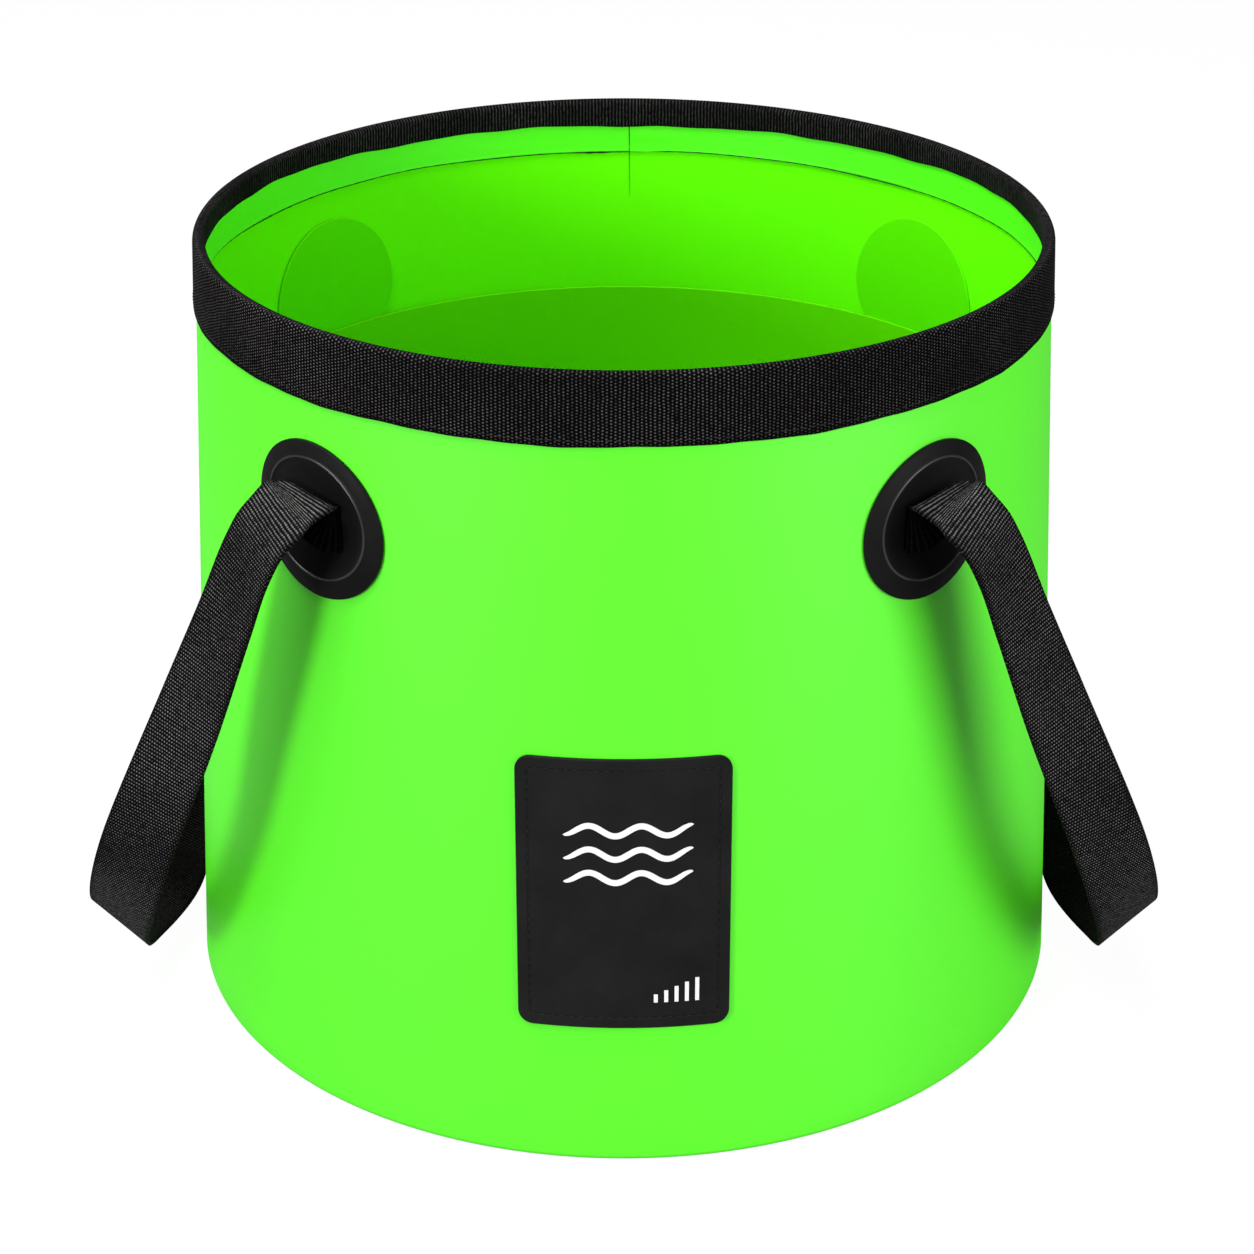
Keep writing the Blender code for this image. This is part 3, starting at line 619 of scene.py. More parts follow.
def thicken(piece, thickness, offset=0.0):
    modifier = piece.modifiers.new("Thickness", "SOLIDIFY")
    modifier.thickness = thickness
    modifier.offset = offset
    modifier.use_even_offset = True
    modifier.use_quality_normals = True
    return modifier


def soften(piece, width, segments=2):
    modifier = piece.modifiers.new("Soft edges", "BEVEL")
    modifier.width = width
    modifier.segments = segments
    modifier.limit_method = "ANGLE"
    modifier.angle_limit = math.radians(50)
    modifier.harden_normals = False
    return modifier


def folds_with_wall(piece):
    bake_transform(piece, "base", "rim", start=(0, 0, FOLD_START_HEIGHT), end=(0, 0, FOLD_END_HEIGHT))


def clamped(value):
    return min(1.0, max(0.0, value))


def waver(angle, waves):
    # A gentle unevenness round the bucket: counts round it, depth and phase of each wave
    return sum(depth * math.sin(count * angle + phase) for count, depth, phase in waves)


# Wall

def wall_profile(sizes):
    middle = WALL_THICKNESS / 2
    pitch = WALL_THICKNESS + STIFFENER_THICKNESS + 2 * CLEARANCE
    binding_pitch = pitch + WALL_THICKNESS + sizes.binding_thickness + 2 * CLEARANCE
    fold_top = sizes.height - (binding_pitch + sizes.binding_thickness) / 2 + pitch / 2
    strip_foot = fold_top - pitch / 2 - CLEARANCE - STIFFENER_HEIGHT
    taper_foot = strip_foot - HEM_TAPER_HEIGHT
    hem_foot = min(sizes.height - HEM_DEPTH, taper_foot - HEM_SEAM_HEIGHT)
    seam_pitch = WALL_THICKNESS + CLEARANCE

    def at(height, inward):
        return (wall_radius(height) - middle - inward, height)

    foot = (sizes.base_radius - FLANGE_WIDTH, middle)
    corner = (sizes.base_radius - middle, middle)
    outer = at(fold_top, 0.0)
    inner = (outer[0] - pitch, fold_top)
    fold = pitch / 2 * FOLD_ROUND_SHARE
    line = rounded([foot, corner, outer, inner, at(strip_foot, pitch)],
                   [FOOT_BEND_RADIUS, fold, fold], BEND_STEPS)
    line += [Vector(at(height, seam_pitch))
             for height in (taper_foot, hem_foot + EDGE_ROW, hem_foot)]
    return spaced(line, ROW_STEP), hem_foot


class OBJECT_OT_bucket_wall(bpy.types.Operator):
    """Build the tarpaulin wall with its hem, its seam and the painted shade along the hem's edge"""

    bl_idname = "object.bucket_wall"
    bl_label = "Bucket Wall"

    def execute(self, context):
        sizes = context.scene.camp_bucket_sizes
        points, hem_foot = wall_profile(sizes)
        bm = spun(points, BODY_STEPS)
        facing_out(bm)
        for vertex in bm.verts:
            angle = azimuth_of(vertex.co)
            share = math.sin(math.pi * clamped(vertex.co.z / sizes.height))
            swell = waver(angle, ((5, 0.00022, 0.4), (9, 0.00012, 1.9), (13, 0.00007, 0.2)))
            radius = vertex.co.xy.length
            vertex.co.xy *= 1 + swell * share / radius
        spread_round(bm, "Cloth", math.tau * MOUTH_RADIUS)
        wall = finished(bm, "tarpaulin_wall", ("outside", "inside"))
        shell = thicken(wall, WALL_THICKNESS)
        shell.material_offset = 1
        self.check_sides(wall, shell)
        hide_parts("body_wall")
        folds_with_wall(wall)
        self.seam(sizes, hem_foot)
        self.hem_shadow_ring(hem_foot)
        return {"FINISHED"}

    def check_sides(self, wall, shell):
        # The first layer of the shell is the outer one where the wall's faces point outwards
        face = max(wall.data.polygons, key=lambda item: item.center.xy.length)
        if face.normal.xy.dot(face.center.xy) < 0:
            raise RuntimeError("The wall's faces point inwards")

    def seam(self, sizes, hem_foot):
        # The overlap of the wall's two ends inside at the back: a thin layer whose clear edge fades out
        # below the hem, and along that edge a thin dark strip of painted shade standing for the shadow in
        # the gap
        half_turn = SEAM_WIDTH / 2 / MOUTH_RADIUS
        self.seam_strip(sizes, hem_foot, "wall_seam", SEAM_WIDTH, SEAM_AZIMUTH - half_turn,
                        0.014, ("inside", "outside"))
        self.seam_strip(sizes, hem_foot, "wall_seam_shadow_strip", SEAM_LINE_WIDTH, SEAM_AZIMUTH,
                        SEAM_FADED_HEIGHT, ("gap_shadow", "gap_shadow"))

    def seam_strip(self, sizes, hem_foot, name, width, azimuth, lowest, finish_keys):
        hem_lift = -(2 * WALL_THICKNESS + CLEARANCE + SEAM_THICKNESS / 2)
        wall_lift = -(WALL_THICKNESS + SEAM_THICKNESS / 2)
        whole = bmesh.new()
        hem_top = sizes.height - sizes.binding_inner / 2
        for top, foot, lift in ((hem_foot, lowest, wall_lift), (hem_top, hem_foot, hem_lift)):
            bm = bmesh.new()
            bmesh.ops.create_cube(bm, size=1.0)
            bmesh.ops.scale(bm, vec=(width, top - foot, SEAM_THICKNESS), verts=bm.verts[:])
            cut_grid(bm, width / 2, (top - foot) / 2, min(width, 0.003))
            for vertex in bm.verts:
                height = (top + foot) / 2 + vertex.co.y
                fade = (height - SEAM_FADED_HEIGHT) / (SEAM_CLEAR_HEIGHT - SEAM_FADED_HEIGHT)
                fade = min(1.0, max(0.06, fade))
                if "gap_shadow" in finish_keys:
                    vertex.co.x *= fade
                elif vertex.co.z < 0:
                    edge_share = max(0.06, vertex.co.x / width + 0.5)
                    vertex.co.z = SEAM_THICKNESS * (0.5 - edge_share * fade)
                if lift == hem_lift:
                    rise = (height - hem_foot - HEM_SEAM_HEIGHT) / HEM_TAPER_HEIGHT
                    pocket = STIFFENER_THICKNESS + CLEARANCE
                    vertex.co.z -= pocket * clamped(rise)
            wrap_on_wall(bm, azimuth, (top + foot) / 2, lift)
            spread_on_wall(bm, "Cloth", azimuth)
            for face in bm.faces:
                face.material_index = int(lift == hem_lift)
            part = bpy.data.meshes.new("stretch")
            bm.to_mesh(part)
            bm.free()
            whole.from_mesh(part)
            bpy.data.meshes.remove(part)
        strip = finished(whole, name, finish_keys)
        folds_with_wall(strip)

    def hem_shadow_ring(self, hem_foot):
        # A thin dark ring of painted shade along the hem's edge, standing for the shadow in the gap under
        # it, wider a little left of the seam where the hem gapes
        centre_radius = wall_radius(hem_foot) - 2 * WALL_THICKNESS - CLEARANCE
        bm = bmesh.new()
        rings = []
        steps = BODY_STEPS * 4
        for step in range(steps):
            angle = math.tau * step / steps
            away = (angle - GAPE_AZIMUTH + math.pi) % math.tau - math.pi
            gape = math.exp(-((away / GAPE_SPREAD) ** 4))
            uneven = waver(angle, ((150, 0.5, 0.3), (71, 0.3, 1.1), (233, 0.3, 2.0)))
            half = HEM_LINE_HALF * (1 + 0.25 * uneven) + GAPE_HALF * gape * (0.75 + 0.4 * uneven)
            height = hem_foot + waver(angle, ((7, 0.00025, 0.3), (17, 0.00012, 1.2)))
            verts = []
            for corner in range(6):
                turn = math.tau * corner / 6
                radius = centre_radius + HEM_LINE_DEPTH * math.cos(turn)
                place = (math.sin(angle) * radius, -math.cos(angle) * radius,
                         height + half * math.sin(turn))
                verts.append(bm.verts.new(place))
            rings.append(verts)
        for before, after in zip(rings, rings[1:] + rings[:1]):
            for corner in range(6):
                follow = (corner + 1) % 6
                bm.faces.new((before[corner], after[corner], after[follow], before[follow]))
        facing_out(bm)
        line = finished(bm, "hem_shadow_ring", ("gap_shadow",), sharp=180.0)
        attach(line, "rim")


def ring_path(radius, height, wander):
    # Points round the bucket, close together, with a slight wander up and down
    places = []
    for step in range(BODY_STEPS * 4):
        angle = math.tau * step / (BODY_STEPS * 4)
        rise = waver(angle, ((7, wander, 0.3), (17, wander / 2, 1.2), (41, wander / 3, 2.2)))
        places.append(Vector((math.sin(angle) * radius, -math.cos(angle) * radius, height + rise)))
    return places


def stitch_spots(path, pitch):
    # Middle and direction of each stitch along a closed path, spaced evenly
    ring = path + path[:1]
    marks = [0.0]
    for before, after in zip(ring, ring[1:]):
        marks.append(marks[-1] + (after - before).length)
    count = max(1, round(marks[-1] / pitch))
    spots = []
    index = 0
    for number in range(count):
        mark = marks[-1] * (number + 0.5) / count
        while marks[index + 1] < mark:
            index += 1
        share = (mark - marks[index]) / (marks[index + 1] - marks[index])
        before, after = ring[index], ring[index + 1]
        spots.append((before.lerp(after, share), (after - before).normalized()))
    return spots


def add_stitch(bm, place, direction, length, radius):
    fresh = bmesh.ops.create_icosphere(bm, subdivisions=1, radius=1.0)["verts"]
    turn = direction.to_track_quat("X", "Z").to_matrix()
    for vertex in fresh:
        x, y, z = vertex.co
        vertex.co = place + turn @ Vector((x * length / 2, y * radius, z * radius))


def stitched(path, pitch_share):
    # Stitches along a closed path. The pitch is counted in stitch lengths
    sizes = bpy.context.scene.camp_bucket_sizes
    bm = bmesh.new()
    for place, direction in stitch_spots(path, sizes.stitch_length * pitch_share):
        add_stitch(bm, place, direction, sizes.stitch_length, sizes.thread_radius)
    return bm


# Lining, bottom and patches

class OBJECT_OT_bucket_lining(bpy.types.Operator):
    """Build the bottom, the second layer inside the wall and the round patches"""

    bl_idname = "object.bucket_lining"
    bl_label = "Bucket Lining"

    def execute(self, context):
        self.bottom()
        self.liner()
        for side_name, side in SIDES.items():
            for end_name, azimuth in (("front", FRONT_PAD_AZIMUTH), ("back", BACK_PAD_AZIMUTH)):
                self.patch(end_name + "_" + side_name + "_patch", side * azimuth)
        return {"FINISHED"}

    def bottom(self):
        middle = WALL_THICKNESS + CLEARANCE + PANEL_THICKNESS / 2
        lip_top = (wall_radius(PANEL_LIP_HEIGHT) - middle, PANEL_LIP_HEIGHT)
        corner = (wall_radius(middle) - middle, middle)
        bend = FOOT_BEND_RADIUS - WALL_THICKNESS / 2 - CLEARANCE - PANEL_THICKNESS / 2
        weld_middle = wall_radius(0.0) - 0.6 * FLANGE_WIDTH
        weld = [(weld_middle + WELD_FOOT_HALF, middle),
                (weld_middle + WELD_TOP_HALF, middle + WELD_RISE),
                (weld_middle - WELD_TOP_HALF, middle + WELD_RISE),
                (weld_middle - WELD_FOOT_HALF, middle)]
        line = rounded([lip_top, corner, weld[0]], [bend], BEND_STEPS)
        line += [Vector(place) for place in weld[1:]] + [Vector((0.0, middle))]
        bm = spun(spaced(line, ROW_STEP), BODY_STEPS)
        facing_out(bm)
        spread = bm.loops.layers.uv.new("Cloth")
        for face in bm.faces:
            for loop in face.loops:
                loop[spread].uv = loop.vert.co.xy
        base = finished(bm, "tarpaulin_bottom", ("liner",))
        thicken(base, PANEL_THICKNESS)
        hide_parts("base_panel")
        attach(base, "base")

    def liner(self):
        foot = WALL_THICKNESS + CLEARANCE + PANEL_THICKNESS + FOOT_BEND_RADIUS
        heights = (foot, LINER_TOP - EDGE_ROW, LINER_TOP)
        line = [(wall_radius(height) - LINER_INSET, height) for height in heights]
        bm = spun(spaced(line, ROW_STEP), BODY_STEPS)
        facing_out(bm)
        spread_round(bm, "Cloth", math.tau * MOUTH_RADIUS)
        liner = finished(bm, "tarpaulin_liner", ("liner",))
        thicken(liner, LINER_THICKNESS)
        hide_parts("inner_liner")
        folds_with_wall(liner)

    def patch(self, name, azimuth):
        edge = 0.00025
        line = [(0.0, -PATCH_THICKNESS), (PATCH_RADIUS - edge, -PATCH_THICKNESS),
                (PATCH_RADIUS, edge - PATCH_THICKNESS), (PATCH_RADIUS, 0.0), (0.0, 0.0)]
        bm = spun(spaced(line, 0.004), DISC_STEPS)
        facing_out(bm)
        wrap_on_wall(bm, azimuth, PAD_CENTRE_HEIGHT, PATCH_LIFT)
        spread_on_wall(bm, "Cloth", azimuth)
        patch = finished(bm, "round_" + name, ("patch",))
        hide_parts(name)
        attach(patch, "rim")


# Rim

class OBJECT_OT_bucket_binding(bpy.types.Operator):
    """Build the webbing folded over the rim and its stitching"""

    bl_idname = "object.bucket_binding"
    bl_label = "Bucket Binding"

    def execute(self, context):
        sizes = context.scene.camp_bucket_sizes
        half = sizes.binding_thickness / 2
        pitch = (2 * WALL_THICKNESS + STIFFENER_THICKNESS + sizes.binding_thickness
                 + 4 * CLEARANCE)
        outward = CLEARANCE + half
        top = sizes.height - half
        outer_foot = sizes.height - sizes.binding_outer
        inner_foot = sizes.height - sizes.binding_inner
        outer_top = (wall_radius(top) + outward, top)
        inner_top = (outer_top[0] - pitch, top)
        line = [(wall_radius(outer_foot) + outward, outer_foot), outer_top, inner_top,
                (wall_radius(inner_foot) + outward - pitch, inner_foot)]
        fold = pitch / 2 * FOLD_ROUND_SHARE
        points = spaced(rounded(line, [fold, fold], BEND_STEPS), 0.002)
        bm = spun(points, BODY_STEPS)
        facing_out(bm)
        layer = bm.verts.layers.float["along"]
        length = max(vertex[layer] for vertex in bm.verts)
        inner_length = sizes.binding_inner - half
        fold_start = length - inner_length
        outer_length = sizes.binding_outer - half
        calm = bm.verts.layers.float.new("calm")
        darkening = bm.verts.layers.float.new("darkening")
        for vertex in bm.verts:
            angle = azimuth_of(vertex.co)
            outer_share = max(0.0, 1 - vertex[layer] / 0.012)
            inner_share = max(0.0, 1 - (length - vertex[layer]) / 0.005)
            vertex.co.z += outer_share * waver(
                angle, ((11, 0.00022, 0.5), (23, 0.00014, 1.4), (57, 0.00008, 0.1)))
            vertex.co.z += inner_share * waver(
                angle, ((9, 0.0003, 2.1), (21, 0.0002, 0.7), (37, 0.00014, 1.7)))
            inner_side = clamped((vertex[layer] - fold_start) / inner_length)
            vertex.co.z += INNER_RISE * math.sin(angle) ** 2 * inner_side
            folded = clamped((vertex[layer] - outer_length) / RIM_FOLD_REACH)
            vertex[calm] = folded
            edge = max(0.0, 1 - vertex[layer] / RIM_EDGE_REACH)
            # Painted shade: the rim webbing is darker towards the right and the back and lighter towards the
            # left front, as the light falls; it is also darker on its folded inner side and along its outer
            # edge
            vertex[darkening] = max(0.8 * folded, 0.25 + 0.25 * math.sin(angle - 0.3), 0.8 * edge)
        spread_round(bm, "Ribs", round(math.tau * MOUTH_RADIUS / RIM_RIB_PITCH))
        binding = finished(bm, "rim_webbing", ("binding",))
        thicken(binding, sizes.binding_thickness)
        soften(binding, 0.0003)
        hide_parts("rim_binding")
        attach(binding, "rim")
        height = outer_foot + RIM_STITCH_LIFT
        radius = wall_radius(height) + outward + half
        row = stitched(ring_path(radius, height, RIM_STITCH_WANDER), RIM_STITCH_PITCH)
        stitches = finished(row, "rim_stitches", ("black_thread",), sharp=180.0)
        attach(stitches, "rim")
        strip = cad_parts["rim_stiffener"]
        for material_slot in strip.material_slots:
            material_slot.material = finish_named("strip")
        return {"FINISHED"}


# Pads

def pad_profile(radius):
    dish_rim = RIDGE_RADIUS - RIDGE_WIDTH / 2
    depth = FLANGE_INNER_THICKNESS - DISH_FLOOR_THICKNESS
    points = [(0.0, DISH_FLOOR_THICKNESS)]
    for step in range(1, 15):
        share = step / 14
        points.append((dish_rim * share,
                       DISH_FLOOR_THICKNESS + depth * share ** (2 * DISH_HOLLOW_POWER)))
    ridge = FLANGE_INNER_THICKNESS + RIDGE_RISE
    points.append((RIDGE_RADIUS - RIDGE_WIDTH / 4, ridge - 0.00002))
    for share in (0.0, 0.2, 0.8, 1.0):
        points.append((RIDGE_RADIUS + RIDGE_WIDTH * (share * 5 / 8 - 1 / 8),
                       ridge - RIDGE_RISE * share))
    rim = radius - PAD_EDGE_ROUND
    for step in range(1, 6):
        share = step / 5
        points.append((RIDGE_RADIUS + RIDGE_WIDTH / 2
                       + (rim - RIDGE_RADIUS - RIDGE_WIDTH / 2) * share,
                       FLANGE_INNER_THICKNESS
                       + (PAD_EDGE_THICKNESS - FLANGE_INNER_THICKNESS) * share ** 1.3))
    for step in range(1, 4):
        turn = math.pi / 2 * step / 3
        points.append((rim + PAD_EDGE_ROUND * math.sin(turn),
                       PAD_EDGE_THICKNESS - PAD_EDGE_ROUND * (1 - math.cos(turn))))
    points += [(radius, 0.0), (radius * 2 / 3, 0.0), (radius / 3, 0.0), (0.0, 0.0)]
    return points


class OBJECT_OT_bucket_pads(bpy.types.Operator):
    """Build the four moulded pads that the handles come out of"""

    bl_idname = "object.bucket_pads"
    bl_label = "Bucket Pads"

    def execute(self, context):
        ends = (("front", FRONT_PAD_AZIMUTH, -1), ("back", BACK_PAD_AZIMUTH, 1))
        for side_name, side in SIDES.items():
            for end_name, azimuth, inward in ends:
                self.pad(end_name + "_" + side_name + "_pad", side * azimuth,
                         inward * side * SLOT_OFFSET)
        return {"FINISHED"}

    def pad(self, name, azimuth, slot_place):
        sizes = bpy.context.scene.camp_bucket_sizes
        bm = spun(pad_profile(sizes.pad_radius), DISC_STEPS)
        facing_out(bm)
        self.cut_slot(bm, slot_place)
        ridge = bm.verts.layers.float.new("ridge")
        dish_shade = bm.verts.layers.float.new("dish_shade")
        for vertex in bm.verts:
            reach = vertex.co.xy.length
            away = (vertex.co.xy - Vector((slot_place, 0.0))).length / RIDGE_RADIUS
            vertex[ridge] = clamped(1.8 - 1.8 * abs(reach - RIDGE_RADIUS) / (RIDGE_WIDTH / 2))
            # Painted shade in the dish: strongest beside the slot, fading out towards the ridge
            if reach < RIDGE_RADIUS - RIDGE_WIDTH / 2:
                vertex[dish_shade] = (max(0.0, 1.0 - 0.75 * away)
                                  * min(1.0, 8 * (1 - reach / RIDGE_RADIUS)))
        forwards = math.copysign(1.0, slot_place)
        for vertex in bm.verts:
            reach = vertex.co.xy.length / RIDGE_RADIUS
            outside = (vertex.co.xy.length - RIDGE_RADIUS) / (sizes.pad_radius - RIDGE_RADIUS)
            nearness = reach ** 2 if reach < 1 else 1 - outside
            vertex.co.x += forwards * RIDGE_SHIFT[0] * nearness
            vertex.co.y = vertex.co.y * PAD_HEIGHTENING + RIDGE_SHIFT[1] * nearness
            vertex.co.x = (vertex.co.x * PAD_WIDENING
                           + forwards * (PAD_SHIFT - vertex.co.y * PAD_SLANT))
        wrap_on_wall(bm, azimuth, PAD_CENTRE_HEIGHT, CLEARANCE)
        pad = finished(bm, "moulded_" + name, ("pad",), sharp=50.0)
        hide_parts(name)
        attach(pad, "rim")

    def cut_slot(self, bm, slot_place):
        half_width, half_height = SLOT_WIDTH / 2, SLOT_HEIGHT / 2
        cuts = ((slot_place - half_width, 0), (slot_place + half_width, 0),
                (-half_height, 1), (half_height, 1))
        for offset, axis in cuts:
            normal = Vector((0, 0, 0))
            normal[axis] = 1.0
            within = RIDGE_RADIUS - RIDGE_WIDTH
            faces = [face for face in bm.faces
                     if all(vertex.co.xy.length < within for vertex in face.verts)]
            edges = list({edge for face in faces for edge in face.edges})
            verts = list({vertex for face in faces for vertex in face.verts})
            bmesh.ops.bisect_plane(bm, geom=verts + edges + faces, plane_co=normal * offset,
                                   plane_no=normal)

        def inside(face):
            middle = face.calc_center_median()
            return abs(middle.x - slot_place) < half_width and abs(middle.y) < half_height

        bmesh.ops.delete(bm, geom=[face for face in bm.faces if inside(face)], context="FACES")
        rims = [edge for edge in bm.edges if edge.is_boundary]
        bmesh.ops.bridge_loops(bm, edges=rims)


# Handles

def handle_frame():
    # Place between the left handle's slots, half their distance, and the handle's own axes
    pad_wall_radius = wall_radius(PAD_CENTRE_HEIGHT)
    slot_radius = pad_wall_radius + SLOT_LIFT
    turn = SLOT_OFFSET / pad_wall_radius
    azimuths = (FRONT_PAD_AZIMUTH - turn, BACK_PAD_AZIMUTH + turn)
    front, back = [Vector((-math.sin(angle), -math.cos(angle), 0.0)) * slot_radius
                   for angle in azimuths]
    along = (back - front).normalized()
    out = Vector((-along.y, along.x, 0.0))
    middle = (front + back) / 2 + Vector((0.0, 0.0, PAD_CENTRE_HEIGHT))
    return middle, (back - front).length / 2, along, out, azimuths


def station(shares, width):
    # Middle, near edge and far edge of the webbing
    middle, half_span, along_axis, out_axis, azimuths = handle_frame()
    along, out, up, cross_along, cross_out, cross_up = shares
    drop = PAD_CENTRE_HEIGHT - STRAP_GROUND_GAP
    flare = -up * drop * math.tan(slope())
    place = (middle + along_axis * along * half_span + out_axis * (out * STRAP_REACH + flare)
             + Vector((0.0, 0.0, up * drop)))
    across = along_axis * cross_along + out_axis * cross_out + Vector((0.0, 0.0, cross_up))
    half = across.normalized() * width / 2
    return [place, place + half, place - half]


def root_stations(azimuth):
    # The webbing stands in the slot along the wall, from just off the wall to above the dish
    outwards = Vector((-math.sin(azimuth), -math.cos(azimuth), 0.0))
    along = Vector((math.cos(azimuth), -math.sin(azimuth), 0.0)) * (1 if azimuth < 1.5 else -1)
    up_the_wall = Vector((0.0, 0.0, math.cos(slope()))) - outwards * math.sin(slope())
    half = (up_the_wall - along * PAD_SLANT) * STRAP_ROOT_WIDTH / 2
    slot_shift = PAD_SHIFT + SLOT_OFFSET * (PAD_WIDENING - 1)
    stations = []
    for lift in (CLEARANCE, STRAP_SLOT_LIFT, STRAP_EXIT_LIFT):
        place = outwards * (wall_radius(PAD_CENTRE_HEIGHT) + lift) + along * slot_shift
        place.z = PAD_CENTRE_HEIGHT
        stations.append([place, place + half, place - half])
    return stations


def handle_stations():
    azimuths = handle_frame()[-1]
    widths = [STRAP_ROOT_WIDTH + (STRAP_WIDTH - STRAP_ROOT_WIDTH) * share
              for share in GATHERED_SHARES]
    front = [station(row, width) for row, width in zip(BEND_SHARES, widths)]
    back = []
    for (along, out, up, cross_along, cross_out, cross_up), width in zip(BEND_SHARES, widths):
        back.append(station((-along, out, up, -cross_along, cross_out, cross_up), width))
    loop = [station(row, STRAP_WIDTH) for row in LOOP_SHARES]
    return (root_stations(azimuths[0]) + front + loop
            + back[::-1] + root_stations(azimuths[1])[::-1])


def smooth_curve(values, marks):
    # Slopes of a cubic curve through the values, paced by their distances
    spans = [after - before for before, after in zip(marks, marks[1:])]
    rises = [(values[place + 1] - values[place]) / span for place, span in enumerate(spans)]
    slopes = [rises[0]]
    for index in range(1, len(spans)):
        before, after = spans[index - 1], spans[index]
        slopes.append((rises[index - 1] * after + rises[index] * before) / (before + after))
    return slopes + [rises[-1]]


def on_curve(values, slopes, marks, mark):
    index = max(place for place in range(len(marks) - 1) if place == 0 or marks[place] <= mark)
    span = marks[index + 1] - marks[index]
    share = (mark - marks[index]) / span
    start_slope = slopes[index] * span
    end_slope = slopes[index + 1] * span
    rise = values[index + 1] - values[index]
    curve = rise * 3 - start_slope * 2 - end_slope
    turn = start_slope + end_slope - rise * 2
    return values[index] + start_slope * share + curve * share ** 2 + turn * share ** 3


class OBJECT_OT_bucket_handles(bpy.types.Operator):
    """Build the two webbing handles, each in one length from slot to slot"""

    bl_idname = "object.bucket_handles"
    bl_label = "Bucket Handles"

    def execute(self, context):
        for side_name, side in SIDES.items():
            self.handle(side_name, side)
        return {"FINISHED"}

    def handle(self, side_name, side):
        sizes = bpy.context.scene.camp_bucket_sizes
        stations = handle_stations()
        marks = [0.0]
        for before, after in zip(stations, stations[1:]):
            marks.append(marks[-1] + (after[0] - before[0]).length)
        near = [edge for place, edge, far in stations]
        far = [edge for place, near_edge, edge in stations]
        near_slopes, far_slopes = smooth_curve(near, marks), smooth_curve(far, marks)
        rows = math.ceil(marks[-1] / STRAP_STEP)
        bm = bmesh.new()
        bmesh.ops.create_grid(bm, x_segments=rows, y_segments=STRAP_COLUMNS, size=0.5)
        spread = bm.loops.layers.uv.new("Ribs")
        for face in bm.faces:
            for loop in face.loops:
                x, y, z = loop.vert.co
                loop[spread].uv = ((x + 0.5) * marks[-1] / sizes.rib_pitch, (y + 0.5) * STRAP_WIDTH)
        calm = bm.verts.layers.float.new("calm")
        darkening = bm.verts.layers.float.new("darkening")
        for vertex in bm.verts:
            mark = (vertex.co.x + 0.5) * marks[-1]
            share = vertex.co.y + 0.5
            end_distance = min(mark, marks[-1] - mark)
            vertex[calm] = 0.55 * clamped((CALM_REACH - end_distance) / CALM_FADE)
            # Painted shade near the ends, where the webbing goes into the dish round the slots; the
            # selvedges are darker as well
            edge = abs(share - 0.5) > 0.49
            end_shade = clamped((END_SHADE_REACH - end_distance) / END_SHADE_FADE)
            vertex[darkening] = max(0.75 * edge, 0.85 * end_shade)
            low = 1 - abs(mark / marks[-1] - LOW_MIDDLE) / LOW_SPREAD
            vertex[calm] = max(vertex[calm], 0.9 * clamped(low))
            near_point = on_curve(near, near_slopes, marks, mark)
            far_point = on_curve(far, far_slopes, marks, mark)
            place = far_point.lerp(near_point, share)
            vertex.co = Vector((-side * place.x, place.y, place.z))
        lowest = min(bm.faces, key=lambda face: face.calc_center_median().z)
        lowest.normal_update()
        if lowest.normal.z > 0:
            bmesh.ops.reverse_faces(bm, faces=bm.faces[:])
        # Painted shade: the inner layer of each loop takes the much darker copy of the webbing colour
        handle = finished(bm, side_name + "_webbing_handle", ("handle", "handle_shaded_side"))
        shell = thicken(handle, sizes.strap_thickness)
        shell.material_offset = 1
        shell.use_even_offset = False
        soften(handle, 0.0004)
        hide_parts("front_" + side_name + "_tab", "back_" + side_name + "_tab",
                    side_name + "_handle")
        middle, half_span, along, out, azimuths = handle_frame()
        middle.x *= -side
        away = Vector((-side * out.x, out.y, 0.0))
        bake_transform(handle, "rim", side_name + "_loop", start=middle + away * SWING_START,
                 end=middle + away * SWING_END)


# Label

LABEL_BORDER = 0.0036
GROOVE_WIDTH = 0.0008
GROOVE_DEPTH = 0.00025
MARK_THICKNESS = 0.00015
WAVE_WIDTH = 0.042
WAVE_STROKE = 0.0021
WAVE_PITCH = 0.0085
WAVE_DEPTH = 0.0018
WAVE_COUNT = 3
WAVES_CENTRE = (0.0015, 0.0155)
TICK_PITCH = 0.0034
TICK_WIDTH = 0.0013
TICK_HEIGHTS = (0.0030, 0.0044, 0.0058, 0.0072, 0.0086)
TICKS_PLACE = (0.0105, -0.0395)


